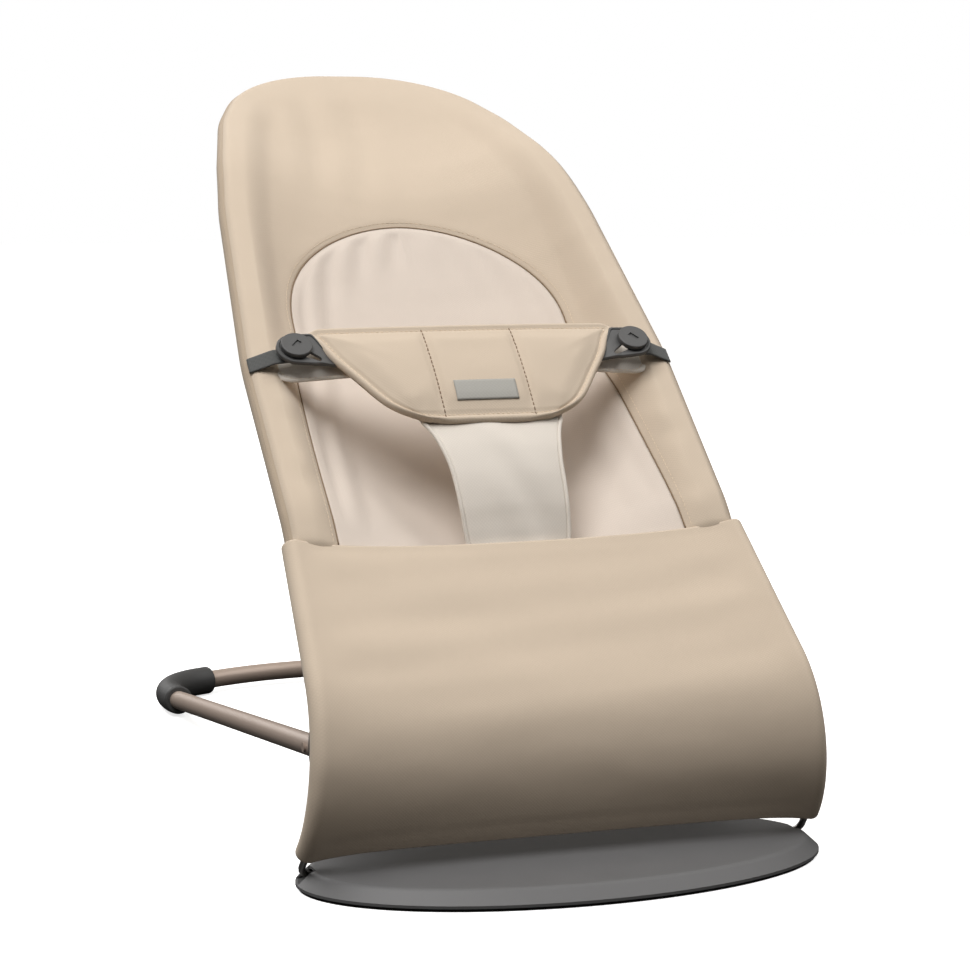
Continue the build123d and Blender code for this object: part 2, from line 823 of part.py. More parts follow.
def make_label_patch():
    """Bare cloth patch on the bib's front."""
    rise = (bib_crown_top - bib_crown_bottom) / (bib_top - bib_bottom)
    normal = (seat_up - seat_dir * rise).normalized()
    origin = on_seat(0, patch_at, bib_height(patch_at)) + normal * patch_gap
    patch = extrude(Rectangle(patch_length, patch_width), patch_thickness)
    return Plane(origin, x_dir=(1, 0, 0), z_dir=normal).location * patch


def make_crotch_strip():
    """Strip from the bib down between the legs, tucked in under the calf panel."""
    sections = []
    for along, height, half in strip_line:
        plane = Plane(on_seat(0, along, height), x_dir=(1, 0, 0), z_dir=-seat_dir)
        sections.append(plane * Rectangle(2 * half, strip_thickness))
    return loft(sections)


# Buckles, left side

turn = radians(buckle_turn)
buckle_run = Vector(1, 0, 0) * cos(turn) - seat_dir * sin(turn)
buckle_plane = Plane(on_seat(-disc_half_width, disc_at, disc_height), x_dir=buckle_run, z_dir=seat_up)
tab_run = buckle_run * cos(radians(tab_rise)) + seat_up * sin(radians(tab_rise))
tab_normal = seat_up * cos(radians(tab_rise)) - buckle_run * sin(radians(tab_rise))
tab_plane = Plane(on_seat(-disc_half_width, disc_at, tab_height), x_dir=tab_run, z_dir=tab_normal)


def layer(face, low, high):
    """A flat layer of the buckle between two heights."""
    return Pos(0, 0, low) * extrude(face, high - low)


def rounded_top(shape, radius):
    """The same piece with its top's outer edge rounded."""
    top = shape.faces().sort_by(Axis.Z)[-1]
    return fillet(top.outer_wire().edges(), radius=radius)


def buckle_slot():
    """Slot that the button's stud travels in; its far end is too narrow for the stud."""
    wide = Pos(stud_travel / 2, 0) * SlotCenterToCenter(stud_travel, 2 * (stud_radius + cloth_clearance))
    narrow = Pos(slot_end / 2, 0) * SlotCenterToCenter(slot_end, 2 * slot_end_radius)
    return wide + narrow


def make_buckle_plate():
    """Teardrop plate with an ear by the bib's corner and the slot for the button."""
    tip = Pos(*buckle_tip) * Circle(buckle_tip_radius)
    ear = Pos(*buckle_ear) * Circle(buckle_ear_radius)
    outline = make_hull(Circle(buckle_radius).edges() + tip.edges() + ear.edges())
    plate = rounded_top(layer(outline, -buckle_thickness, 0), buckle_round)
    return buckle_plane.location * (plate - layer(buckle_slot(), -buckle_thickness, 0))


flange_top = -buckle_thickness - buckle_gap


def make_button():
    """Round button: a disc over the plate, a stud in its slot and a flange beneath."""
    disc = rounded_top(layer(Circle(disc_radius), buckle_gap, buckle_gap + disc_thickness), disc_round)
    slot = Rectangle(grip_slot_width, grip_slot_length)
    disc -= layer(slot, buckle_gap + disc_thickness - grip_slot_depth, buckle_gap + disc_thickness)
    stud = layer(Circle(stud_radius), flange_top, buckle_gap)
    flange = layer(Circle(flange_radius), flange_top - flange_thickness, flange_top)
    return buckle_plane.location * (disc + stud + flange)


def make_tab():
    """Pale cloth tab behind the buckle, from under the bib out to the hoop."""
    tip = Pos(tab_length, 0) * Circle(tab_tip_radius)
    face = Pos(0, -tab_shift) * make_hull(Circle(tab_radius).edges() + tip.edges())
    return tab_plane.location * layer(face, -tab_thickness, 0)


def make_strap():
    """Webbing from under the button out over the padded edge."""
    half = strap_thickness / 2
    start = disc_height + flange_top - flange_thickness - cloth_clearance - half
    crest = sleeve_radius + cloth_clearance + half + strap_crest_rise
    end = sleeve_radius + cloth_clearance + half - strap_end_drop
    points = [(-disc_half_width + strap_tuck, start),
              (-rail_half_width + strap_knee, strap_knee_height),
              (-rail_half_width + strap_crest, crest),
              (-rail_half_width - strap_end, end)]
    path = FilletPolyline(*points, radius=strap_bend)
    plane = Plane(on_seat(0, strap_at, 0), x_dir=(1, 0, 0), z_dir=-seat_dir)
    return extrude(plane * trace(path, strap_thickness), strap_width / 2, both=True)


def rivet_bar(y_low, y_high, radius):
    """Cylinder across the left hub's block, through the hoop's line."""
    share = rail_rivet_rise / foot_run.length
    top = (Align.CENTER, Align.CENTER, Align.MAX)
    bar = Location((foot_run.X * share, y_low, rail_rivet_rise), (90, 0, 0)) * Cylinder(
        radius, y_high - y_low, align=top)
    return hub_frame.location * bar


def make_rail_rivet():
    """Rivet that holds the hoop in its hub."""
    rivet = rivet_bar(-hub_block_half, hub_block_half, rivet_radius)
    rivet += rivet_bar(-hub_block_half - rivet_head, -hub_block_half, rivet_head_radius)
    return rivet + rivet_bar(hub_block_half, hub_block_half + rivet_head, rivet_head_radius)


def rail_rivet_hole():
    """Hole for that rivet through the hub and the hoop."""
    return rivet_bar(-hub_block_half, hub_block_half, rivet_radius + seat_clearance)


def right_hand(shape):
    """The same piece on the right."""
    return mirror(shape, about=Plane.YZ)


def save(name, *shapes):
    """Write one node; several shapes become separate solids of it."""
    solids = [solid for shape in shapes for solid in shape.solids()]
    shape = solids[0] if len(solids) == 1 else Compound(children=solids)
    export_step(shape, os.path.join("parts", name + ".step"))


def save_pair(name, shape):
    """A node for the left-hand piece and one for its mirror image."""
    save(name + "_left", shape)
    save(name + "_right", right_hand(shape))


def save_both(name, shapes):
    """One node for the same fasteners on the two sides."""
    save(name, *shapes, *[right_hand(shape) for shape in shapes])


def main():
    """Build every piece and write it."""
    os.makedirs("parts", exist_ok=True)
    save("plate_tray", make_plate_tray())
    save("plate_cover", make_plate_cover())
    save("plate_grip", make_plate_grip())
    save("saddle_caps", make_saddle_caps())
    save("plate_screws", *make_plate_screws())
    save("spring_bow", make_spring_bow())

    screws = make_clamp_screw()
    hoop_holes = [rail_rivet_hole(), screws]
    save("seat_hoop", make_seat_hoop() - hoop_holes - [right_hand(hole) for hole in hoop_holes])
    save_pair("hub_housing", make_hub_housing())
    save_pair("hinge_pin", make_hinge_pin())
    save_both("friction_washers", make_washers())
    save_both("rail_rivets", [make_rail_rivet()])
    save("cross_tube", make_cross_tube())
    save_pair("spring_clamp", make_spring_clamp() - screws)
    save_both("clamp_screws", [screws])

    save("leg_tube", make_leg_tube())
    save_pair("leg_eye", make_leg_eye())
    save_both("leg_rivets", [make_leg_rivet()])
    save_pair("boot", make_boot())

    sling = make_sling(0, panel_thickness)
    save("edge_sleeve", make_edge_sleeve())
    save("calf_panel", make_calf_panel())
    save("inner_panel", make_inner_panel(sling))
    save("outer_panel", make_outer_panel(sling))
    save("back_lining", make_back_lining())

    save("bib", make_bib())
    save("label_patch", make_label_patch())
    save("crotch_strip", make_crotch_strip())
    save_pair("buckle_plate", make_buckle_plate())
    save_pair("button", make_button())
    save_pair("bib_tab", make_tab())
    save_pair("strap", make_strap())


main()
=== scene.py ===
import json
import logging
import math
from dataclasses import dataclass, field
from enum import Enum

import bmesh
import bpy
import numpy as np
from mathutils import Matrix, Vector
from mathutils.bvhtree import BVHTree

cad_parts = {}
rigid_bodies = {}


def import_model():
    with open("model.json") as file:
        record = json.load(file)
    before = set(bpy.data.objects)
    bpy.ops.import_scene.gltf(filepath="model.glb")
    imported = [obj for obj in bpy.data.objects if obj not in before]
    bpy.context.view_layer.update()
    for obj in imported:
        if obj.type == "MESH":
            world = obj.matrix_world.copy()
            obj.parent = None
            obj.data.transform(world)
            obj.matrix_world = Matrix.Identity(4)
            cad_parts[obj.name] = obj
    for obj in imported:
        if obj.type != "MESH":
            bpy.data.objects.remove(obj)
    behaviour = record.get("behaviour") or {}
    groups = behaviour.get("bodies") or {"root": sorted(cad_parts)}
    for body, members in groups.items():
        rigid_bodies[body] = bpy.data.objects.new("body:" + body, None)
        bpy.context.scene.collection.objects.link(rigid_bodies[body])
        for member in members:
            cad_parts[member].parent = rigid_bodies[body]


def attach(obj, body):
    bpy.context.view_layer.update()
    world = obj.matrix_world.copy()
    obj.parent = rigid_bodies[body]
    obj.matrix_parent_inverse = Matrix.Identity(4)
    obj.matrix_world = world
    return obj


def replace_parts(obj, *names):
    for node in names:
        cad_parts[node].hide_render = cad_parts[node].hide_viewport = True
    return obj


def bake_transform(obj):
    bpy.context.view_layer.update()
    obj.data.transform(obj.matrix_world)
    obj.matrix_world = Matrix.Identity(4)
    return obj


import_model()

log = logging.getLogger("bouncer_seat")
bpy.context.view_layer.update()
QUARTER_TURN = math.pi / 2
FULL_TURN = 2 * math.pi


class Side(Enum):
    """The two mirror sides, by the sign of X."""

    LEFT = -1
    RIGHT = 1

    @property
    def word(self) -> str:
        """The side's name in lower case."""
        return self.name.lower()


# Curves and surfaces of the object


def smooth_step(value: np.ndarray, low: float, high: float) -> np.ndarray:
    """Smooth rise from 0 at low to 1 at high."""
    share = np.clip((value - low) / (high - low), 0.0, 1.0)
    return share * share * (3.0 - 2.0 * share)


def band(value: np.ndarray, rise: tuple[float, float], fall: tuple[float, float]) -> np.ndarray:
    """Smooth rise to 1, and later back to 0."""
    return smooth_step(value, *rise) * (1 - smooth_step(value, *fall))


def bell(value: np.ndarray, width: float) -> np.ndarray:
    """Smooth bump of height 1 round zero."""
    return np.exp(-((value / width) ** 2))


def unit(vectors: np.ndarray, tiny: float = 0.0) -> np.ndarray:
    """Vectors brought to length one."""
    return vectors / (np.linalg.norm(vectors, axis=-1, keepdims=True) + tiny)


def ring_of(count: int) -> np.ndarray:
    """Points evenly round the unit circle."""
    angle = np.linspace(0.0, FULL_TURN, count, endpoint=False)
    return np.stack([np.cos(angle), np.sin(angle)], axis=1)


def eased(stations: tuple[tuple[float, float], ...], at: np.ndarray) -> np.ndarray:
    """Smooth curve through a few stations.

    Args:
        stations: Pairs of place and value, in rising order of place.
        at: Places to read.

    Returns:
        Values at those places, with a monotone cubic between stations.
    """
    x, y = np.array(stations, float).T
    step = np.diff(x)
    slope = np.diff(y) / step
    product, total = slope[1:] * slope[:-1], slope[1:] + slope[:-1]
    inner = np.where(product > 0, 2 * product / (total + 1e-12), 0.0)
    tangent = np.concatenate([[slope[0]], inner, [slope[-1]]])
    at = np.clip(np.asarray(at, float), x[0], x[-1])
    k = np.clip(np.searchsorted(x, at, side="right") - 1, 0, len(step) - 1)
    s = (at - x[k]) / step[k]
    first = (1 + 2 * s) * (1 - s) ** 2 * y[k] + s * (1 - s) ** 2 * step[k] * tangent[k]
    return first + s * s * (3 - 2 * s) * y[k + 1] + s * s * (s - 1) * step[k] * tangent[k + 1]


def reach_of(path: np.ndarray) -> np.ndarray:
    """Distance run along a polyline."""
    return np.concatenate([[0.0], np.cumsum(np.linalg.norm(np.diff(path, axis=0), axis=1))])


def read_along(values: np.ndarray, reach: np.ndarray, at: np.ndarray) -> np.ndarray:
    """Values kept along a polyline, read at other distances."""
    return np.stack([np.interp(at, reach, column) for column in values.T], axis=-1)


def resample(points: np.ndarray, spacing: float) -> np.ndarray:
    """Evenly spaced points along a polyline.

    Args:
        points: The polyline, one row per point.
        spacing: Wanted distance between points.

    Returns:
        New points, the two ends among them.
    """
    reach = reach_of(points)
    count = max(2, int(round(reach[-1] / spacing)) + 1)
    return read_along(points, reach, np.linspace(0.0, reach[-1], count))


def filleted(points: list, radii: list[float], spacing: float) -> np.ndarray:
    """Polyline with rounded corners.

    Args:
        points: Corner points, in two or three dimensions.
        radii: One radius per inner corner.
        spacing: Distance between the points that come back.

    Returns:
        Evenly spaced points.
    """
    arc_points = 24
    rows = [np.asarray(p, float) for p in points]
    out = [rows[0][None]]
    for before, corner, after, radius in zip(rows, rows[1:], rows[2:], radii):
        back, ahead = unit(before - corner), unit(after - corner)
        half = 0.5 * math.acos(float(np.clip(back @ ahead, -1, 1)))
        middle = unit(back + ahead)
        centre = corner + middle * (radius / math.sin(half))
        start = corner + back * (radius / math.tan(half))
        side = (start - centre) / radius
        cross = unit(-middle - side * (-middle @ side))
        angle = np.linspace(0.0, math.pi - 2 * half, arc_points)[:, None]
        out.append(centre + radius * (np.cos(angle) * side + np.sin(angle) * cross))
    out.append(rows[-1][None])
    return resample(np.concatenate(out), spacing)


def hull_outline(circles: tuple, way: np.ndarray, middle: np.ndarray | None = None) -> np.ndarray:
    """Tight outline round some circles, by direction.

    Args:
        circles: Rows of middle and radius.
        way: Unit directions from a point between the circles.
        middle: That point, or none for the mean of the circles' middles.

    Returns:
        Points.
    """
    circle_points, tangents, grazing = 180, 720, 1e-3
    centre = np.mean([c[:2] for c in circles], axis=0) if middle is None else middle
    cloud = np.concatenate([np.array(c[:2]) + c[2] * ring_of(circle_points) for c in circles]) - centre
    normal = ring_of(tangents)
    support = (cloud @ normal.T).max(axis=0)
    lean = way @ normal.T
    reach = np.min(np.where(lean > grazing, support[None] / np.maximum(lean, grazing), np.inf), axis=1)
    return centre + way * reach[:, None]


@dataclass(frozen=True)
class SeatShape:
    """Sizes of the seat line, the hoop and the cloth, in metres and degrees."""

    front_y: float = -0.3965
    nose_setback: float = 0.152
    nose_height: float = 0.080
    nose_radius: float = 0.080
    seat_angle: float = 40.4
    head_angle: float = 22.1
    bend_at: float = 0.5294
    bend_radius: float = 0.230
    hem_angle: float = 41.0
    pivot_height: float = 0.0073
    wire_radius: float = 0.0025
    wire_top: tuple = (-0.1668, 0.116)
    wire_nose_x: float = -0.1795
    wire_foot_x: float = -0.1857
    calf_top: float = 0.121
    edge_start: float = 0.1225
    hoop: tuple = ((0.161, 0.140), (0.161, 0.300), (0.147, 0.470), (0.1375, 0.5294), (0.119, 0.6117),
                   (0.080, 0.7091))
    hoop_bends: tuple = (0.400, 0.300, 0.230, 0.150, 0.100)
    hoop_spacing: float = 0.0015
    middle_line: tuple = ((0.095, -0.024), (0.140, -0.036), (0.190, -0.045), (0.250, -0.050), (0.320, -0.049),
                          (0.400, -0.042), (0.470, -0.031), (0.560, -0.017), (0.640, -0.006), (0.690, 0.004),
                          (0.725, 0.008))

    def place(self, x: np.ndarray, along: np.ndarray, height: np.ndarray) -> np.ndarray:
        """World points on the seat.

        Args:
            x: Distance across.
            along: Distance up the seat line, below zero round the nose.
            height: Distance out of the line, towards the sitter.

        Returns:
            Points, with the last axis of length three.
        """
        x, along, height = np.broadcast_arrays(*(np.asarray(v, float) for v in (x, along, height)))
        seat, head = math.radians(self.seat_angle), math.radians(self.head_angle)
        turn = seat - head
        start = self.bend_at - self.bend_radius * math.tan(turn / 2)
        rise = np.clip(along, 0.0, start)
        bend = np.clip((along - start) / self.bend_radius, 0.0, turn)
        past = np.maximum(along - start - self.bend_radius * turn, 0.0)
        nose = seat - np.minimum(along, 0.0) / self.nose_radius
        y = self.front_y + self.nose_setback - self.nose_radius * np.sin(nose)
        z = self.nose_height + self.nose_radius * np.cos(nose)
        y = y + rise * math.cos(seat) + self.bend_radius * (np.sin(seat) - np.sin(seat - bend)) + past * math.cos(head)
        z = z + rise * math.sin(seat) + self.bend_radius * (np.cos(seat - bend) - np.cos(seat)) + past * math.sin(head)
        angle = nose - bend
        return np.stack([x, y - height * np.sin(angle), z + height * np.cos(angle)], axis=-1)

    def out_of(self, along: np.ndarray) -> np.ndarray:
        """Directions out of the seat, towards the sitter."""
        return self.place(0.0, along, 1.0) - self.place(0.0, along, 0.0)

    def rim(self, inset: float, spacing: float) -> np.ndarray:
        """The hoop's line laid flat, from the left foot over the arch to the right.

        Args:
            inset: Distance inside the hoop's middle line.
            spacing: Distance between points.

        Returns:
            Rows of distance across and distance up the seat.
        """
        left = [(-self.hoop[0][0], self.edge_start)] + [(-x, a) for x, a in self.hoop[1:]]
        right = [(-x, a) for x, a in left[::-1]]
        line = filleted(left + right, [*self.hoop_bends, *self.hoop_bends[::-1]], spacing)
        tangent = unit(np.gradient(line, axis=0))
        return line + inset * np.stack([tangent[:, 1], -tangent[:, 0]], axis=1)

    def half_width(self, inset: float, along: np.ndarray) -> np.ndarray:
        """Half the width inside the hoop at distances up the seat.

        Args:
            inset: Distance inside the hoop's middle line.
            along: Distances up the seat.

        Returns:
            Half widths, zero past the arch.
        """
        line = self.rim(inset, self.hoop_spacing)
        left = line[: len(line) // 2 + 1]
        return np.interp(along, left[:, 1], -left[:, 0], right=0.0)

    def arch_top(self, inset: float) -> float:
        """Distance up the seat of the arch's top."""
        return float(self.rim(inset, self.hoop_spacing)[:, 1].max())

    def wire_corners(self) -> list[np.ndarray]:
        """Clamped end, nose corner and foot of the left half of the spring bow."""
        hem, seat = math.radians(self.hem_angle), math.radians(self.seat_angle)
        nose = np.array([self.front_y + self.nose_setback, self.nose_height])
        touch = nose + self.nose_radius * np.array([-math.cos(hem), -math.sin(hem)])
        down = np.array([math.sin(hem), -math.cos(hem)])
        foot = touch + down * ((self.pivot_height - touch[1]) / down[1])
        rise = np.array([math.cos(seat), math.sin(seat)])
        origin = nose + self.nose_radius * np.array([-math.sin(seat), math.cos(seat)])
        reach = np.linalg.solve(np.stack([down, -rise], axis=1), origin - foot)[0]
        corner = foot + down * reach
        return [self.place(*self.wire_top, 0.0), np.array([self.wire_nose_x, *corner]),
                np.array([self.wire_foot_x, *foot])]


SHAPE = SeatShape()


# Meshes


def grid_faces(rows: int, columns: int, wrap: bool = False) -> np.ndarray:
    """Quads of a grid of points numbered row by row.

    Args:
        rows: Number of rows.
        columns: Points in a row.
        wrap: Whether each row is a closed loop.

    Returns:
        Four indices per face.
    """
    i = np.arange(rows - 1)[:, None]
    j = np.arange(columns if wrap else columns - 1)[None, :]
    k = (j + 1) % columns
    return np.stack([i * columns + j, i * columns + k, (i + 1) * columns + k, (i + 1) * columns + j],
                    axis=-1).reshape(-1, 4)


def fan_faces(rows: int, columns: int) -> np.ndarray:
    """Quads of nested loops, with the innermost loop closed by a fold.

    Args:
        rows: Number of loops, from the inside out.
        columns: Points in a loop, an even number.

    Returns:
        Four indices per face.
    """
    j = np.arange(columns // 2 - 1)
    middle = np.stack([j, j + 1, columns - 2 - j, columns - 1 - j], axis=1)
    return np.concatenate([grid_faces(rows, columns, wrap=True)[:, ::-1], middle])


def make_mesh(name: str, points: np.ndarray, faces: np.ndarray | list, flat: np.ndarray | None = None,
              smooth: bool = True, closed: bool = True) -> bpy.types.Object:
    """Mesh object with its origin at the world origin.

    Args:
        name: Object name.
        points: Vertex places.
        faces: Vertex indices per face.
        flat: Cloth coordinates per vertex in metres, kept as the UV map.
        smooth: Whether its faces are shaded smooth.
        closed: Whether it has an outside that its faces are turned to.

    Returns:
        The new object.
    """
    mesh = bpy.data.meshes.new(name)
    mesh.from_pydata(np.asarray(points, float).reshape(-1, 3).tolist(), [],
                     faces.tolist() if isinstance(faces, np.ndarray) else faces)
    if flat is not None:
        layer = mesh.uv_layers.new(name="cloth")
        loops = np.zeros(len(mesh.loops), np.int32)
        mesh.loops.foreach_get("vertex_index", loops)
        layer.data.foreach_set("uv", np.asarray(flat, np.float32).reshape(-1, 2)[loops].ravel())
    mesh.polygons.foreach_set("use_smooth", np.full(len(mesh.polygons), smooth))
    mesh.update()
    if closed:
        work = bmesh.new()
        work.from_mesh(mesh)
        bmesh.ops.recalc_face_normals(work, faces=work.faces)
        work.to_mesh(mesh)
        work.free()
    made = bpy.data.objects.new(name, mesh)
    bpy.context.scene.collection.objects.link(made)
    return made


def shell_mesh(name: str, front: np.ndarray, back: np.ndarray, faces: np.ndarray,
               flat: np.ndarray) -> bpy.types.Object:
    """Closed shell between a front and a back that share their faces.

    Args:
        name: Object name.
        front: Front points.
        back: Back points, one per front point.
        faces: Quads of the front.
        flat: Cloth coordinates per front point.

    Returns:
        The new object.
    """
    used, index = np.unique(faces, return_inverse=True)
    faces = index.reshape(faces.shape)
    count = len(used)
    edges = np.stack([faces, np.roll(faces, -1, axis=1)], axis=-1).reshape(-1, 2)
    _, which, uses = np.unique(np.sort(edges, axis=1), axis=0, return_inverse=True, return_counts=True)
    a, b = edges[uses[which.ravel()] == 1].T
    rim = np.stack([b, a, a + count, b + count], axis=1)
    points = np.concatenate([front.reshape(-1, 3)[used], back.reshape(-1, 3)[used]])
    return make_mesh(name, points, np.concatenate([faces, faces[:, ::-1] + count, rim]),
                     np.concatenate([flat.reshape(-1, 2)[used]] * 2))


def sheet_mesh(name: str, front: np.ndarray, thickness: float, flat: np.ndarray) -> bpy.types.Object:
    """Closed thin sheet from a grid of front points."""
    normal = unit(np.cross(np.gradient(front, axis=1), np.gradient(front, axis=0)), 1e-12)
    return shell_mesh(name, front, front - normal * thickness, grid_faces(*front.shape[:2]), flat)


def path_frames(path: np.ndarray, up: np.ndarray) -> tuple[np.ndarray, np.ndarray]:
    """Two cross directions along a path.

    Args:
        path: Points of the path.
        up: Wanted up direction at each point.

    Returns:
        Outward and up directions, square to the path.
    """
    tangent = unit(np.gradient(path, axis=0))
    up = unit(up - tangent * np.sum(up * tangent, axis=1, keepdims=True))
    return np.cross(tangent, up), up


def sweep_mesh(name: str, path: np.ndarray, up: np.ndarray, profile: np.ndarray) -> bpy.types.Object:
    """Closed bar of a given section along a path.

    Args:
        name: Object name.
        path: Points of the path.
        up: Up direction at each point.
        profile: Section as rows of outward and up, counter-clockwise seen along the path.

    Returns:
        The new object.
    """
    outward, upward = path_frames(path, up)
    ring = path[:, None] + profile[None, :, :1] * outward[:, None] + profile[None, :, 1:] * upward[:, None]
    rows, columns = ring.shape[:2]
    caps = [list(range(columns))[::-1], list(range((rows - 1) * columns, rows * columns))]
    flat = np.stack(np.broadcast_arrays(reach_of(profile)[None, :], reach_of(path)[:, None]), axis=-1)
    return make_mesh(name, ring, grid_faces(rows, columns, wrap=True).tolist() + caps, flat)


def loop_profile(corners: tuple, per_span: int) -> np.ndarray:
    """Smooth closed section through corner points.

    Args:
        corners: Pairs of outward and up.
        per_span: Points between one corner and the next.

    Returns:
        Rows of outward and up.
    """
    p = np.array(corners, float)
    s = np.linspace(0.0, 1.0, per_span, endpoint=False)[None, :, None]
    a, b, c, d = (np.roll(p, k, axis=0)[:, None] for k in (1, 0, -1, -2))
    curve = 0.5 * (2 * b + (c - a) * s + (2 * a - 5 * b + 4 * c - d) * s ** 2 + (3 * b - a - 3 * c + d) * s ** 3)
    return curve.reshape(-1, 2)


@dataclass(frozen=True)
class Thread:
    """One kind of stitch row."""

    length: float
    gap: float
    radius: float
    sides: int = 6
    shares: tuple = (-0.5, -0.4, 0.0, 0.4, 0.5)
    girths: tuple = (0.25, 0.8, 1.0, 0.8, 0.25)

    def row(self, name: str, path: np.ndarray, up: np.ndarray) -> bpy.types.Object:
        """Row of small stitches along a line.

        Args:
            name: Object name.
            path: Line the stitches follow.
            up: Out-of-cloth direction along the line, or one for all of it.

        Returns:
            The new object, one closed capsule per stitch.
        """
        reach = reach_of(path)
        count = max(1, int(reach[-1] / (self.length + self.gap)))
        start = (np.arange(count) + 0.5) * reach[-1] / count
        at = start[:, None] + np.array(self.shares) * self.length
        middle = read_along(path, reach, at)
        run = unit(read_along(np.gradient(path, axis=0), reach, at))
        lift = read_along(np.broadcast_to(up, path.shape), reach, at)
        lift = unit(lift - run * np.sum(lift * run, axis=-1, keepdims=True))
        over, rise = ring_of(self.sides).T[..., None]
        girth = (np.array(self.girths) * self.radius)[:, None, None]
        ring = middle[:, :, None] + girth * (over * np.cross(run, lift)[:, :, None] + rise * lift[:, :, None])
        ends, sides = len(self.shares), self.sides
        first = np.arange(count)[:, None] * ends * sides
        walls = (grid_faces(ends, sides, wrap=True) + first[..., None]).reshape(-1, 4).tolist()
        caps = (first + np.arange(sides)[::-1]).tolist() + (first + (ends - 1) * sides + np.arange(sides)).tolist()
        return make_mesh(name, ring, walls + caps)


def area_of(piece: bpy.types.Object) -> float:
    """Area of all the faces of a mesh.

    Args:
        piece: The object.

    Returns:
        Square metres.
    """
    area = np.zeros(len(piece.data.polygons), np.float32)
    piece.data.polygons.foreach_get("area", area)
    return float(area.sum())


def points_of(mesh: bpy.types.Mesh) -> np.ndarray:
    """Vertex places of a mesh.

    Args:
        mesh: The mesh.

    Returns:
        Rows of three coordinates.
    """
    flat = np.zeros(len(mesh.vertices) * 3, np.float32)
    mesh.vertices.foreach_get("co", flat)
    return flat.reshape(-1, 3).astype(float)


def inflated(piece: bpy.types.Object, pressure: float, frames: int) -> np.ndarray:
    """Places that a closed cloth takes when a short simulation fills it.

    Args:
        piece: Closed mesh, left as it is.
        pressure: Filling pressure.
        frames: Steps to run.

    Returns:
        Rows of three coordinates.
    """
    scene = bpy.context.scene
    cloth = piece.modifiers.new("fill", "CLOTH")
    settings = cloth.settings
    settings.quality = 5
    settings.mass = 0.2
    settings.tension_stiffness = settings.compression_stiffness = 30.0
    settings.bending_stiffness = 2.0
    settings.use_pressure = True
    settings.uniform_pressure_force = pressure
    settings.effector_weights.gravity = 0.0
    cloth.collision_settings.use_collision = False
    cloth.point_cache.frame_start, cloth.point_cache.frame_end = 1, frames
    for step in range(1, frames + 1):
        scene.frame_set(step)
    shaped = bpy.data.meshes.new_from_object(piece.evaluated_get(bpy.context.evaluated_depsgraph_get()))
    points = points_of(shaped)
    piece.modifiers.remove(cloth)
    bpy.data.meshes.remove(shaped)
    scene.frame_set(1)
    return points


# Shader parts


class Nodes:
    """Small helper that adds and links shader nodes in one tree."""

    def __init__(self, tree: bpy.types.NodeTree) -> None:
        """Keep the tree to work in."""
        self.tree = tree

    def add(self, kind: str, **values: object) -> bpy.types.Node:
        """A node with its named inputs set or linked.

        Args:
            kind: Node type.
            values: Settings, or inputs by name with underscores for spaces, or by number after a letter.

        Returns:
            The node.
        """
        node = self.tree.nodes.new(kind)
        for name, value in values.items():
            if hasattr(node, name) and name not in node.inputs:
                setattr(node, name, value)
                continue
            self.feed(node.inputs[int(name[1:]) if name[1:].isdigit() else name.replace("_", " ")], value)
        return node

    def feed(self, socket: bpy.types.NodeSocket, value: object) -> None:
        """Set or link one input.

        Args:
            socket: The input.
            value: A value, or the output to link.
        """
        if isinstance(value, bpy.types.NodeSocket):
            self.tree.links.new(value, socket)
        else:
            socket.default_value = value

    def math(self, operation: str, first: object, second: object = 0.0) -> bpy.types.NodeSocket:
        """Result of one sum."""
        return self.add("ShaderNodeMath", operation=operation, i0=first, i1=second).outputs[0]

    def mix(self, factor: object, low: object, high: object) -> bpy.types.NodeSocket:
        """Blend of two colours."""
        return self.add("ShaderNodeMix", data_type="RGBA", i0=factor, i6=low, i7=high).outputs[2]

    def noise(self, vector: object, **values: object) -> bpy.types.NodeSocket:
        """Noise value."""
        return self.add("ShaderNodeTexNoise", Vector=vector, **values).outputs[0]


def new_group(name: str, inputs: tuple, outputs: tuple) -> tuple[Nodes, bpy.types.Node, bpy.types.Node]:
    """Empty node group with its sockets.

    Args:
        name: Group name.
        inputs: Rows of socket name, socket type and default.
        outputs: Rows of socket name and socket type.

    Returns:
        The tree's helper, and its input and output nodes.
    """
    tree = bpy.data.node_groups.new(name, "ShaderNodeTree")
    for socket, kind, value in inputs:
        made = tree.interface.new_socket(name=socket, in_out="INPUT", socket_type=kind)
        if value is not None:
            made.default_value = value
    for socket, kind in outputs:
        tree.interface.new_socket(name=socket, in_out="OUTPUT", socket_type=kind)
    return Nodes(tree), tree.nodes.new("NodeGroupInput"), tree.nodes.new("NodeGroupOutput")


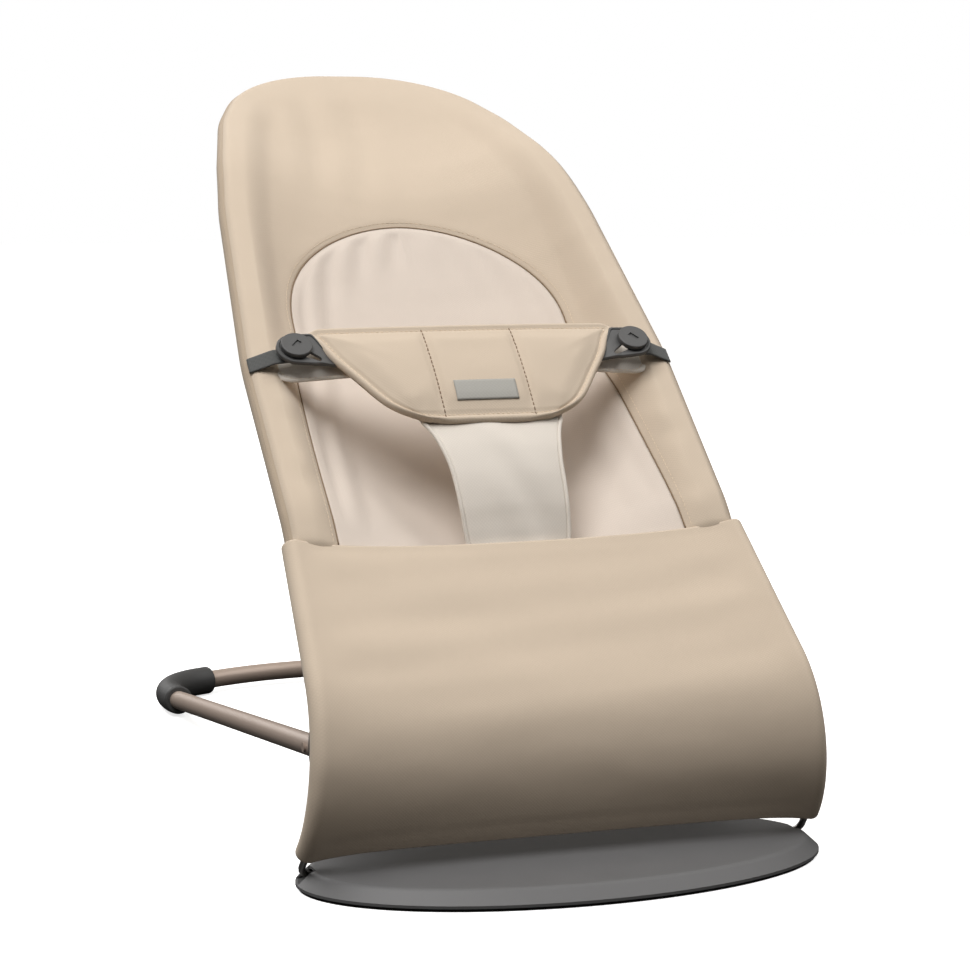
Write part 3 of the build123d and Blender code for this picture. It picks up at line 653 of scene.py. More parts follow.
def weave_group() -> bpy.types.NodeTree:
    """Woven cloth: thread relief, slubs and soft wear as a colour shade and a normal."""
    n, enter, leave = new_group(
        "woven_cloth",
        (("Cloth", "NodeSocketVector", None), ("Thread", "NodeSocketFloat", 1600.0),
         ("Relief", "NodeSocketFloat", 0.25), ("Mottle", "NodeSocketFloat", 0.12),
         ("Crease", "NodeSocketFloat", 0.3)),
        (("Shade", "NodeSocketFloat"), ("Normal", "NodeSocketVector")))
    cloth = enter.outputs["Cloth"]
    scaled = n.add("ShaderNodeVectorMath", operation="SCALE", i0=cloth, Scale=enter.outputs["Thread"])
    across, along = n.add("ShaderNodeSeparateXYZ", i0=scaled.outputs[0]).outputs[:2]
    warp, weft = (n.math("ABSOLUTE", n.math("SINE", way)) for way in (across, along))
    slow = [n.math("SINE", n.math("MULTIPLY", way, 0.5)) for way in (across, along)]
    over = n.math("MULTIPLY", *slow)
    thread = n.math("ADD", n.math("MULTIPLY", n.math("ADD", warp, weft), 0.35), n.math("MULTIPLY", over, 0.3))
    slub = n.noise(cloth, Scale=900.0, Detail=3.0)
    cloud = n.noise(cloth, Scale=28.0, Detail=4.0)
    stretch = n.add("ShaderNodeMapping", Vector=cloth, Scale=(7.0, 15.0, 1.0))
    crease = n.noise(stretch.outputs[0], Scale=1.0, Detail=1.5, Roughness=0.4)
    patchy = n.math("ADD", n.math("MULTIPLY", slub, 0.6), n.math("MULTIPLY", cloud, 0.4))
    mottle = n.math("MULTIPLY", n.math("SUBTRACT", patchy, 0.5), enter.outputs["Mottle"])
    dark = n.math("MULTIPLY", n.math("SUBTRACT", thread, 0.5), 0.10)
    soft = n.add("ShaderNodeBump", Height=crease, Strength=enter.outputs["Crease"], Distance=0.010)
    fine = n.add("ShaderNodeBump", Height=thread, Strength=enter.outputs["Relief"], Distance=0.0003,
                 Normal=soft.outputs[0])
    n.feed(leave.inputs["Shade"], n.math("ADD", 1.0, n.math("ADD", mottle, dark)))
    n.feed(leave.inputs["Normal"], fine.outputs[0])
    return n.tree


def grain_group() -> bpy.types.NodeTree:
    """Fine moulded grain with faint scuffs, as a roughness shift, a shade and a normal."""
    n, enter, leave = new_group(
        "moulded_grain",
        (("Scale", "NodeSocketFloat", 1200.0), ("Relief", "NodeSocketFloat", 0.2),
         ("Scuff", "NodeSocketFloat", 0.2)),
        (("Shade", "NodeSocketFloat"), ("Rough", "NodeSocketFloat"), ("Normal", "NodeSocketVector")))
    place = n.add("ShaderNodeTexCoord").outputs["Object"]
    grain = n.noise(place, Scale=enter.outputs["Scale"], Detail=2.0)
    scuff = n.noise(place, Scale=38.0, Detail=6.0, Roughness=0.7)
    worn = n.math("MULTIPLY", n.math("SUBTRACT", scuff, 0.5), enter.outputs["Scuff"])
    bump = n.add("ShaderNodeBump", Height=grain, Strength=enter.outputs["Relief"], Distance=0.0003)
    n.feed(leave.inputs["Shade"], n.math("ADD", 1.0, worn))
    n.feed(leave.inputs["Rough"], n.math("MULTIPLY", worn, 0.8))
    n.feed(leave.inputs["Normal"], bump.outputs[0])
    return n.tree


def srgb(red: float, green: float, blue: float) -> tuple[float, float, float]:
    """Linear colour from eight-bit display values."""
    value = np.array([red, green, blue], float) / 255.0
    return tuple(np.where(value <= 0.04045, value / 12.92, ((value + 0.055) / 1.055) ** 2.4).tolist())


@dataclass(frozen=True)
class Finish:
    """What every finish has: a name, a colour, and a shader that one node group shades."""

    name: str
    colour: tuple

    def begin(self, tree: bpy.types.NodeTree, **values: float) -> tuple:
        """Material with the group placed, its shade and its normal linked.

        Args:
            tree: The shared node group.
            values: The group's inputs.

        Returns:
            The material, its node helper, the group's node and the shader's inputs.
        """
        material = bpy.data.materials.new(self.name)
        material.use_nodes = True
        n = Nodes(material.node_tree)
        inputs = material.node_tree.nodes["Principled BSDF"].inputs
        group = n.add("ShaderNodeGroup", node_tree=tree, **values)
        shade = n.add("ShaderNodeVectorMath", operation="SCALE", i0=self.colour, Scale=group.outputs["Shade"])
        n.feed(inputs["Base Color"], shade.outputs[0])
        n.feed(inputs["Normal"], group.outputs["Normal"])
        return material, n, group, inputs


@dataclass(frozen=True)
class ClothFinish(Finish):
    """Look of one woven cloth."""

    thread: float = 5200.0
    relief: float = 0.25
    mottle: float = 0.10
    crease: float = 0.25
    roughness: float = 0.85
    sheen: float = 0.15
    sheen_roughness: float = 0.5
    specular: float = 0.2

    def build(self, weave: bpy.types.NodeTree) -> bpy.types.Material:
        """Material of the cloth.

        Args:
            weave: The shared woven cloth group.

        Returns:
            The material.
        """
        material, n, group, inputs = self.begin(weave, Thread=self.thread, Relief=self.relief, Mottle=self.mottle,
                                                Crease=self.crease)
        n.feed(group.inputs["Cloth"], n.add("ShaderNodeUVMap", uv_map="cloth").outputs[0])
        inputs["Roughness"].default_value = self.roughness
        inputs["Sheen Weight"].default_value = self.sheen
        inputs["Sheen Roughness"].default_value = self.sheen_roughness
        inputs["Specular IOR Level"].default_value = self.specular
        return material


@dataclass(frozen=True)
class HardFinish(Finish):
    """Look of one moulded or painted material."""

    roughness: float = 0.5
    metallic: float = 0.0
    grain: float = 1200.0
    relief: float = 0.15
    scuff: float = 0.15
    specular: float = 0.5

    def build(self, grain: bpy.types.NodeTree) -> bpy.types.Material:
        """Material of the hard piece.

        Args:
            grain: The shared moulded grain group.

        Returns:
            The material.
        """
        material, n, group, inputs = self.begin(grain, Scale=self.grain, Relief=self.relief, Scuff=self.scuff)
        n.feed(inputs["Roughness"], n.math("ADD", self.roughness, group.outputs["Rough"]))
        inputs["Metallic"].default_value = self.metallic
        inputs["Specular IOR Level"].default_value = self.specular
        return material


@dataclass
class Palette:
    """All the object's materials, made once."""

    made: dict[str, bpy.types.Material] = field(default_factory=dict)

    CLOTHS = (
        ClothFinish("beige_cotton", srgb(202, 186, 167), crease=0.4),
        # The edge sleeve is the same beige cloth, given a darker colour as painted shade on its side gusset.
        ClothFinish("edge_cotton", srgb(180, 163, 143), crease=0.2),
        # The piping cords are the beige cloth, coloured dark brown as painted shade along the seam lines.
        ClothFinish("seam_cotton", srgb(132, 112, 90), crease=0.0),
        ClothFinish("cream_cotton", srgb(211, 199, 188), crease=0.4),
        ClothFinish("pale_satin", srgb(219, 211, 201), roughness=0.6, sheen=0.3, crease=0.5),
        ClothFinish("lining_cotton", srgb(206, 190, 170), crease=0.2),
        ClothFinish("grey_webbing", srgb(86, 87, 86), thread=2600.0, relief=0.6, crease=0.0, roughness=0.75),
        ClothFinish("grey_patch", srgb(166, 164, 158), thread=4200.0, crease=0.05, roughness=0.5),
    )
    HARDS = (
        HardFinish("grey_plastic", srgb(78, 78, 78), roughness=0.5),
        HardFinish("plate_plastic", srgb(98, 98, 99), roughness=0.52, grain=1600.0, relief=0.25),
        HardFinish("dark_plastic", srgb(66, 66, 66), roughness=0.55),
        HardFinish("black_rubber", srgb(38, 38, 39), roughness=0.8, specular=0.3),
        HardFinish("taupe_tube", srgb(186, 168, 155), roughness=0.36, metallic=0.25, scuff=0.08),
        HardFinish("bright_steel", srgb(172, 170, 168), roughness=0.3, metallic=1.0, scuff=0.08),
        HardFinish("beige_thread", srgb(226, 208, 184), roughness=0.8, relief=0.0),
        HardFinish("brown_thread", srgb(120, 98, 78), roughness=0.8, relief=0.0),
    )

    def build(self) -> None:
        """Make every material."""
        for finishes, group in ((self.CLOTHS, weave_group()), (self.HARDS, grain_group())):
            self.made.update({finish.name: finish.build(group) for finish in finishes})

    def dress(self, piece: bpy.types.Object, name: str, slot: str | None = None) -> bpy.types.Object:
        """Give a piece its only material.

        Args:
            piece: The object.
            name: Material name.
            slot: Record slot; not used.

        Returns:
            The same object.
        """
        piece.data.materials.clear()
        piece.data.materials.append(self.made[name])
        return piece

    def seated(self, piece: bpy.types.Object, name: str, slot: str | None = None,
               node: str | None = None) -> bpy.types.Object:
        """Dress a piece that rides on the seat."""
        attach(self.dress(piece, name, slot), "seat")
        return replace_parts(piece, node) if node else piece


# Soft pieces


@dataclass
class Sling:
    """Seat cloth between the rails: padded edge, outer panel, inner panel and lining."""

    shape: SeatShape
    palette: Palette
    start: float = 0.100
    thickness: float = 0.0045
    # inner panel
    inner_sides: tuple = ((0.090, 0.1330), (0.164, 0.1314), (0.206, 0.1301), (0.267, 0.1272), (0.299, 0.1245),
                          (0.332, 0.1192), (0.351, 0.1142), (0.362, 0.1123), (0.369, 0.1120))
    inner_arch_at: float = 0.369
    inner_arch: float = 0.112
    inner_rise: float = 0.1175
    arch_rows: int = 34
    side_rows: int = 56
    inner_columns: int = 91
    least_half: float = 0.0006
    # outer panel
    head_rows: int = 58
    head_from: float = 0.045
    above_inner: tuple = (0.0012, 0.0026, 0.0044, 0.0068)
    strip_columns: int = 51
    strip_crowding: float = 1.5
    strip_gap: float = 0.0004
    tip_half: float = 0.0005
    # section of the hanging cloth
    steepness: tuple = ((0.100, 1.60), (0.164, 1.77), (0.206, 2.10), (0.267, 2.40), (0.299, 2.70), (0.332, 3.20),
                        (0.374, 3.70), (0.440, 3.40), (0.520, 2.40))
    hang_inset: float = 0.0120
    flat_head_from: float = 0.600
    pocket_depth: float = 0.003
    pocket_half: float = 0.050
    pocket_spread: float = 0.058
    pocket_from: float = 0.120
    pocket_run: float = 0.150
    pocket_soft: float = 0.016
    pocket_span: tuple = ((0.100, 0.150), (0.270, 0.350))
    groove_depth: float = 0.0016
    groove_width: float = 0.0035
    # folds, with waves in radians per metre across or up the seat
    hang_fold: float = 0.0010
    hang_wave: float = 150.0
    hang_sway: tuple = (2.0, 17.0, 0.5)
    hang_at: float = -0.045
    hang_width: float = 0.060
    hang_span: tuple = ((0.480, 0.560), (0.650, 0.700))
    strip_puff: float = 0.0016
    strip_pull: float = 0.0017
    pull_wave: tuple = (120.0, 62.0, 1.1)
    pull_ripple: tuple = (0.5, 201.0, 40.0)
    strip_rise: tuple = (0.002, 0.016)
    strip_span: tuple = ((0.120, 0.150), (0.270, 0.330))
    drape_fold: float = 0.0020
    drape_wave: tuple = (210.0, 20.0, 0.4)
    drape_rise: tuple = (0.003, 0.012)
    drape_at: float = 0.018
    drape_width: float = 0.020
    drape_from: tuple = (0.130, 0.180)
    drape_right: float = 0.35
    # padded edge
    border: float = -0.0052
    border_spacing: float = 0.004
    edge_blend: tuple = (0.004, 0.040)
    edge_height: float = 0.0076
    edge_foot: float = 0.0035
    foot_span: tuple = (0.114, 0.150)
    tuck_depth: float = 0.012
    tuck_span: tuple = (0.110, 0.1215)
    crest: float = 0.0022
    roll: float = 0.0030
    edge_section: tuple = ((-0.0072, 0.0050), (-0.0030, 0.0074), (0.0020, 0.0078), (0.0062, 0.0072),
                           (0.0089, 0.0058), (0.0096, 0.0030), (0.0098, -0.0005), (0.0094, -0.0045),
                           (0.0080, -0.0074), (0.0040, -0.0090), (-0.0010, -0.0093), (-0.0058, -0.0076),
                           (-0.0088, -0.0036), (-0.0092, 0.0015))
    edge_seams: tuple = (("edge_front_piping", 0.0057, 0.0077), ("edge_back_piping", 0.0083, -0.0074))
    edge_spacing: float = 0.005
    edge_cord: float = 0.0008
    cord_sides: int = 8
    # seam round the inner panel
    seam_foot: float = 0.124
    seam_lift: float = 0.0001
    seam_cord: float = 0.0006
    seam_spacing: float = 0.003
    seam_points: tuple = (60, 80)
    stitch_offset: float = 0.004
    thread: Thread = Thread(0.0028, 0.0012, 0.00022)
    # lining
    lining_inset: float = 0.0062
    lining_gap: float = 0.0075
    lining_back: float = -0.0045
    lining_dip: float = 0.002
    lining_thickness: float = 0.0018
    lining_grid: tuple = (110, 81)

    def inner_half(self, along: np.ndarray) -> np.ndarray:
        """Half width of the inner panel.

        Args:
            along: Distances up the seat.

        Returns:
            Half widths, zero past its arch.
        """
        past = np.clip((along - self.inner_arch_at) / self.inner_rise, 0.0, 1.0)
        arch = self.inner_arch * np.sqrt(1.0 - past ** 2)
        return np.where(along < self.inner_arch_at, eased(self.inner_sides, along), arch)

    def seam_distance(self, x: np.ndarray, along: np.ndarray) -> np.ndarray:
        """Distance outside the inner panel's seam, below zero inside it.

        Args:
            x: Distance across.
            along: Distance up the seat.

        Returns:
            Distances in metres.
        """
        up_arch = np.maximum(along - self.inner_arch_at, 0.0) * self.inner_arch / self.inner_rise
        past_arch = np.hypot(x, up_arch) - self.inner_arch
        return np.where(along < self.inner_arch_at, np.abs(x) - self.inner_half(along), past_arch)

    def height(self, x: np.ndarray, along: np.ndarray) -> np.ndarray:
        """Height of the seat cloth's face.

        Args:
            x: Distance across.
            along: Distance up the seat.

        Returns:
            Heights over the rails' line.
        """
        half = np.maximum(self.shape.half_width(self.hang_inset, along), 1e-4)
        middle, side = eased(self.shape.middle_line, along), self.side_height(along)
        near_top = smooth_step(along, self.flat_head_from, self.shape.arch_top(self.hang_inset))
        share = 1 - (1 - np.clip(np.abs(x) / half, 0.0, 1.0)) * (1 - near_top)
        base = middle + (side - middle) * share ** eased(self.steepness, along)
        up_pocket = np.clip((along - self.pocket_from) / self.pocket_run, 0.0, 1.2)
        crease = self.pocket_half + self.pocket_spread * up_pocket
        pocket = 1.0 - smooth_step(np.abs(x), crease - self.pocket_soft, crease + self.pocket_soft)
        seam = self.seam_distance(x, along)
        dip = self.pocket_depth * band(along, *self.pocket_span) * pocket
        inside = base - dip - self.groove_depth * bell(seam, self.groove_width) + self.folds(x, along, seam)
        depth = self.border_depth(x, along)
        rolled = side + self.crest - self.roll * (1 - np.minimum(depth / -self.border, 1.0)) ** 2
        return rolled + (inside - rolled) * smooth_step(depth, *self.edge_blend)

    def folds(self, x: np.ndarray, along: np.ndarray, seam: np.ndarray) -> np.ndarray:
        """Soft folds of the seat cloth: hanging at the head, pulled on the side strips, draped inside the seam.

        Args:
            x: Distance across.
            along: Distance up the seat.
            seam: Distance outside the inner panel's seam.

        Returns:
            Heights to add.
        """
        sway, slow, phase = self.hang_sway
        hang = np.sin(self.hang_wave * x + sway * np.sin(slow * along) + phase)
        hang = hang * bell(x - self.hang_at, self.hang_width)
        up, out, lag = self.pull_wave
        share, fine_up, fine_out = self.pull_ripple
        pull = np.sin(up * along - out * np.abs(x) + lag * np.sign(x)) + share * np.sin(fine_up * along + fine_out * x)
        strip = smooth_step(seam, *self.strip_rise) * band(along, *self.strip_span)
        within = smooth_step(-seam, *self.drape_rise) * bell(-seam - self.drape_at, self.drape_width)
        out, up, phase = self.drape_wave
        drape = within * np.where(x < 0, 1.0, self.drape_right) * np.sin(out * np.abs(x) + up * along + phase)
        return (self.hang_fold * band(along, *self.hang_span) * hang
                + self.strip_puff * strip + self.strip_pull * strip * pull
                + self.drape_fold * drape * smooth_step(along, *self.drape_from))

    def side_height(self, along: np.ndarray) -> np.ndarray:
        """Height of the cloth beside the hoop, which dips at the foot and tucks under the calf panel."""
        tucked = self.tuck_depth * (1 - smooth_step(along, *self.tuck_span))
        return self.edge_foot + (self.edge_height - self.edge_foot) * smooth_step(along, *self.foot_span) - tucked

    def border_depth(self, x: np.ndarray, along: np.ndarray) -> np.ndarray:
        """Distance inside the seam on the hoop's outside.

        Args:
            x: Distance across.
            along: Distance up the seat.

        Returns:
            Distances in metres.
        """
        line = self.shape.rim(self.border, self.border_spacing)
        spot = np.stack(np.broadcast_arrays(np.asarray(x, float), along), axis=-1)
        ahead = line[1:] - line[:-1]
        gap = spot[..., None, :] - line[:-1]
        share = np.clip(np.sum(gap * ahead, axis=-1) / np.sum(ahead ** 2, axis=-1), 0.0, 1.0)
        return np.linalg.norm(gap - share[..., None] * ahead, axis=-1).min(axis=-1)

    def inner_rows(self) -> np.ndarray:
        """Distances up the seat of the rows beside the inner panel, closer together at the top of its arch."""
        low = np.linspace(self.start, self.inner_arch_at, self.side_rows)[:-1]
        turn = np.linspace(0.0, QUARTER_TURN, self.arch_rows)
        return np.concatenate([low, self.inner_arch_at + self.inner_rise * np.sin(turn)])

    def inner(self) -> bpy.types.Object:
        """Pale inner panel."""
        along = self.inner_rows()
        along[-1] -= 1e-6
        half = np.maximum(self.inner_half(along), self.least_half)
        x = half[:, None] * np.linspace(-1.0, 1.0, self.inner_columns)
        rows = np.broadcast_to(along[:, None], x.shape)
        grid = self.shape.place(x, rows, self.height(x, rows))
        piece = sheet_mesh("inner_panel_cloth", grid, self.thickness, np.stack([x, rows], axis=-1))
        return self.palette.seated(piece, "cream_cotton", "cloth_cream", "inner_panel")

    def outer(self) -> bpy.types.Object:
        """Side strips and head of the sling, joined down the middle above the inner panel."""
        top = self.shape.arch_top(self.border) - 1e-5
        split = self.inner_arch_at + self.inner_rise
        head = (top - split) * np.sin(np.linspace(self.head_from, QUARTER_TURN, self.head_rows))
        along = np.concatenate([self.inner_rows(), split + np.array(self.above_inner), split + head])
        half = np.maximum(self.shape.half_width(self.border, along), self.tip_half)
        near = np.where(along < split, self.inner_half(along) + self.strip_gap, 0.0)
        share = 1.0 - (1.0 - np.linspace(0.0, 1.0, self.strip_columns)) ** self.strip_crowding
        right = near[:, None] + (half - near)[:, None] * share
        x = np.stack([-right, right])
        rows = np.broadcast_to(along[None, :, None], x.shape)
        height = self.height(x, rows)
        index = np.arange(x.size).reshape(x.shape)
        whole = along >= split
        index[1, whole, 0] = index[0, whole, 0]
        quads = grid_faces(*right.shape)
        faces = np.concatenate([index[0].ravel()[quads][:, ::-1], index[1].ravel()[quads]])
        front, back = (self.shape.place(x, rows, height - deep) for deep in (0.0, self.thickness))
        piece = shell_mesh("outer_panel_cloth", front, back, faces, np.stack([x, rows], axis=-1))
        return self.palette.seated(piece, "beige_cotton", "cloth_beige", "outer_panel")

    def lining(self) -> bpy.types.Object:
        """Lining behind the sling."""
        top = self.shape.arch_top(self.lining_inset) - 1e-5
        count, columns = self.lining_grid
        along = self.start + (top - self.start) * np.sin(np.linspace(0.0, QUARTER_TURN, count))
        half = np.maximum(self.shape.half_width(self.lining_inset, along), self.tip_half)
        x = half[:, None] * np.linspace(-1.0, 1.0, columns)
        rows = np.broadcast_to(along[:, None], x.shape)
        furthest = self.lining_back - self.lining_dip * (1 - np.abs(x) / half[:, None])
        grid = self.shape.place(x, rows, np.minimum(self.height(x, rows) - self.lining_gap, furthest))
        piece = sheet_mesh("back_lining_cloth", grid, self.lining_thickness, np.stack([x, rows], axis=-1))
        return self.palette.seated(piece, "lining_cotton", "cloth_cream", "back_lining")

    def edge(self) -> bpy.types.Object:
        """Padded cloth edge round the hoop, with its two seams."""
        x, along = self.shape.rim(0.0, self.edge_spacing).T
        path = self.shape.place(x, along, self.side_height(along) - self.edge_height)
        up = self.shape.out_of(along)
        piece = sweep_mesh("edge_sleeve_cloth", path, up, loop_profile(self.edge_section, 3))
        outward, upward = path_frames(path, up)
        section = self.edge_cord * ring_of(self.cord_sides)
        for name, out, high in self.edge_seams:
            cord = sweep_mesh(name, path + outward * out + upward * high, upward, section)
            # Dark brown cord colour: painted shade along the edge seams.
            self.palette.seated(cord, "seam_cotton", "cloth_beige")
        # The sleeve's darker colour is painted shade on the gusset; its cloth is the beige cotton.
        return self.palette.seated(piece, "edge_cotton", "cloth_beige", "edge_sleeve")

    def seam(self) -> None:
        """Stitch row and cord round the inner panel."""
        for name, line in (("inner_seam_stitches", self.seam_line(self.stitch_offset)),
                           ("inner_seam_cord", resample(self.seam_line(0.0), self.seam_spacing))):
            x, along = line.T
            path = self.shape.place(x, along, self.height(x, along) + self.seam_lift)
            up = self.shape.out_of(along)
            if name == "inner_seam_stitches":
                self.palette.seated(self.thread.row(name, path, up), "beige_thread")
            else:
                cord = sweep_mesh(name, path, up, self.seam_cord * ring_of(self.cord_sides))
                # Dark brown cord colour: painted shade along the inner panel's seam.
                self.palette.seated(cord, "seam_cotton", "cloth_beige")

    def seam_line(self, wide: float) -> np.ndarray:
        """Line round the inner panel, from its left foot over the arch to its right foot.

        Args:
            wide: Distance outside the panel's seam.

        Returns:
            Rows of distance across and distance up the seat.
        """
        low_points, arch_points = self.seam_points
        turn = np.linspace(0.0, math.pi, arch_points)
        arch = np.stack([-(self.inner_arch + wide) * np.cos(turn),
                         self.inner_arch_at + (self.inner_rise + wide) * np.sin(turn)], axis=1)
        low = np.linspace(self.seam_foot, self.inner_arch_at, low_points)[:-1]
        side = self.inner_half(low) + wide
        return np.concatenate([np.stack([-side, low], axis=1), arch, np.stack([side, low], axis=1)[::-1]])

    def build(self) -> None:
        """Make every cloth of the sling."""
        inner, outer, lining, edge = self.inner(), self.outer(), self.lining(), self.edge()
        self.seam()
        for piece, flat in ((inner, (0.300, 0.410)), (outer, (0.420, 0.640)), (lining, (0.360, 0.640))):
            area_of(piece) / 2


@dataclass
class CalfPanel:
    """Front panel over the nose, folded round the spring bow at each side, and the bow itself."""

    shape: SeatShape
    palette: Palette
    thickness: float = 0.0027
    casing: float = 0.0055
    sag: float = 0.0095
    hem_sag: float = 0.0010
    side_step: float = 0.0045
    hollow_form: float = 2.4
    step_form: float = 8
    wrinkle: float = 0.00060
    wrinkle_waves: tuple = ((95.0, 9.0), (11.0, 1.3), (171.0, 14.0, 0.8))
    wrinkle_ripple: float = 0.6
    wrinkle_from: tuple = (-0.075, 0.02)
    wrinkle_side: tuple = (0.80, 1.0)
    hem: float = -0.1265
    hem_seam: tuple = (0.013, 0.0007, 0.0022)
    top_seam: tuple = (0.006, 0.0005, 0.0020)
    seam_side: tuple = (0.92, 0.98)
    stitch_points: int = 160
    stitch_lift: float = 0.0001
    face_grid: tuple = (74, 121)
    casing_points: int = 13
    fold_points: int = 5
    edge_row: float = 0.0012
    fold_back: float = 0.011
    fold_lift: float = 0.0006
    wire_line: tuple = ((-0.1265, 0.1842), (-0.063, 0.1790), (0.0, 0.1743), (0.121, 0.1665))
    wire_bends: tuple = (0.080, 0.010, 0.010, 0.080)
    wire_spacing: float = 0.003
    wire_sides: int = 14
    wire_up: tuple = (0.0, 1.0, 0.3)
    bend_from: float = 0.100
    thread: Thread = Thread(0.0026, 0.0014, 0.00028)

    def face_height(self, x: np.ndarray, along: np.ndarray, half: np.ndarray) -> np.ndarray:
        """Height of the panel's front between the two casings.

        Args:
            x: Distance across.
            along: Distance up the seat.
            half: Distance of the wire from the middle.

        Returns:
            Heights over the wire's line.
        """
        share = np.clip(np.abs(x) / half, 0.0, 1.0)
        (up, out), (wide, shift), (fine_up, fine_out, phase) = self.wrinkle_waves
        pulled = np.sin(up * along + out * x) * np.cos(wide * x + shift)
        pulled = pulled + self.wrinkle_ripple * np.sin(fine_up * along - fine_out * x + phase)
        ease = smooth_step(along, *self.wrinkle_from) * (1 - smooth_step(share, *self.wrinkle_side))
        turn = np.clip(-along / self.shape.nose_radius, 0.0, QUARTER_TURN)
        sag = self.hem_sag + (self.sag - self.hem_sag) * np.cos(turn)
        sewn = sum(deep * bell(gap - inset, width)
                   for gap, (inset, deep, width) in ((along - self.hem, self.hem_seam),
                                                     (self.shape.calf_top - along, self.top_seam)))
        sewn = sewn * (1 - smooth_step(share, *self.seam_side))
        hollow = sag * (1 - share ** self.hollow_form) + self.side_step * (1 - share ** self.step_form)
        return self.casing - hollow + self.wrinkle * pulled * ease - sewn

    def grid(self) -> tuple[np.ndarray, np.ndarray]:
        """Outer face of the panel from one back seam round both wires to the other.

        Returns:
            Points and cloth coordinates.
        """
        top, (count, columns) = self.shape.calf_top, self.face_grid
        inner_rows = np.linspace(top - self.edge_row, self.hem + self.edge_row, count)
        along = np.concatenate([[top], inner_rows, [self.hem]])
        half = eased(self.wire_line, along)[:, None]
        across = np.linspace(-1.0, 1.0, columns) * half
        height = self.face_height(across, np.broadcast_to(along[:, None], across.shape), half)
        turn = np.linspace(QUARTER_TURN, -QUARTER_TURN, self.casing_points)[None, 1:]
        back = np.linspace(0.0, 1.0, self.fold_points)[None, 1:]
        right_x = np.concatenate([half + self.casing * np.cos(turn), half - self.fold_back * back], axis=1)
        right_n = np.concatenate([self.casing * np.sin(turn), -self.casing - self.fold_lift * back], axis=1)
        right_n = np.broadcast_to(right_n, right_x.shape)
        x = np.concatenate([-right_x[:, ::-1], across, right_x], axis=1)
        n = np.concatenate([right_n[:, ::-1], height, right_n], axis=1)
        rows = np.broadcast_to(along[:, None], x.shape)
        points = self.shape.place(x, rows, n)
        steps = np.linalg.norm(np.diff(points, axis=1), axis=2)
        run = np.concatenate([np.zeros((len(along), 1)), np.cumsum(steps, axis=1)], axis=1)
        return points, np.stack([run - run[:, -1:] / 2, rows], axis=-1)

    def stitches(self, name: str, along: float, reach: float) -> bpy.types.Object:
        """Stitch row across the panel.

        Args:
            name: Object name.
            along: Where up the seat.
            reach: Share of the half width that it covers.

        Returns:
            The stitches.
        """
        half = float(eased(self.wire_line, np.array(along)))
        x = np.linspace(-reach, reach, self.stitch_points) * half
        height = self.face_height(x, np.full_like(x, along), np.full_like(x, half))
        path = self.shape.place(x, along, height + self.stitch_lift)
        return self.palette.dress(self.thread.row(name, path, self.shape.out_of(along)), "beige_thread")

    def build(self) -> None:
        """Make the panel, its stitch rows and the wire."""
        points, flat = self.grid()
        panel = sheet_mesh("calf_panel_cloth", points, self.thickness, flat)
        self.palette.dress(panel, "beige_cotton", "cloth_beige")
        left = self.shape.wire_corners()
        right = [p * np.array([-1.0, 1.0, 1.0]) for p in left]
        line = filleted(left + right[::-1], self.wire_bends, self.wire_spacing)
        up = np.broadcast_to(self.wire_up, line.shape)
        wire = sweep_mesh("spring_bow_wire", line, up, self.shape.wire_radius * ring_of(self.wire_sides))
        self.palette.dress(wire, "bright_steel", "steel")
        rows = [self.stitches("calf_top_stitches", self.shape.calf_top - self.top_seam[0], 0.97),
                self.stitches("calf_hem_stitches", self.hem + self.hem_seam[0], 0.96)]
        _, y, high = self.shape.place(0.0, self.bend_from, 0.0).tolist()
        low = float(self.shape.place(0.0, self.hem, 0.0)[2])
        for piece in (panel, wire, *rows):
            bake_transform(piece)
        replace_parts(panel, "calf_panel")
        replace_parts(wire, "spring_bow")


@dataclass(frozen=True)
class Frame:
    """Origin and directions of a buckle or its tab."""

    origin: np.ndarray
    run: np.ndarray
    cross: np.ndarray
    out: np.ndarray

    def at(self, flat: np.ndarray, high: np.ndarray | float) -> np.ndarray:
        """World points."""
        lift = np.asarray(high)[..., None] * self.out
        return self.origin + flat[..., :1] * self.run + flat[..., 1:] * self.cross + lift


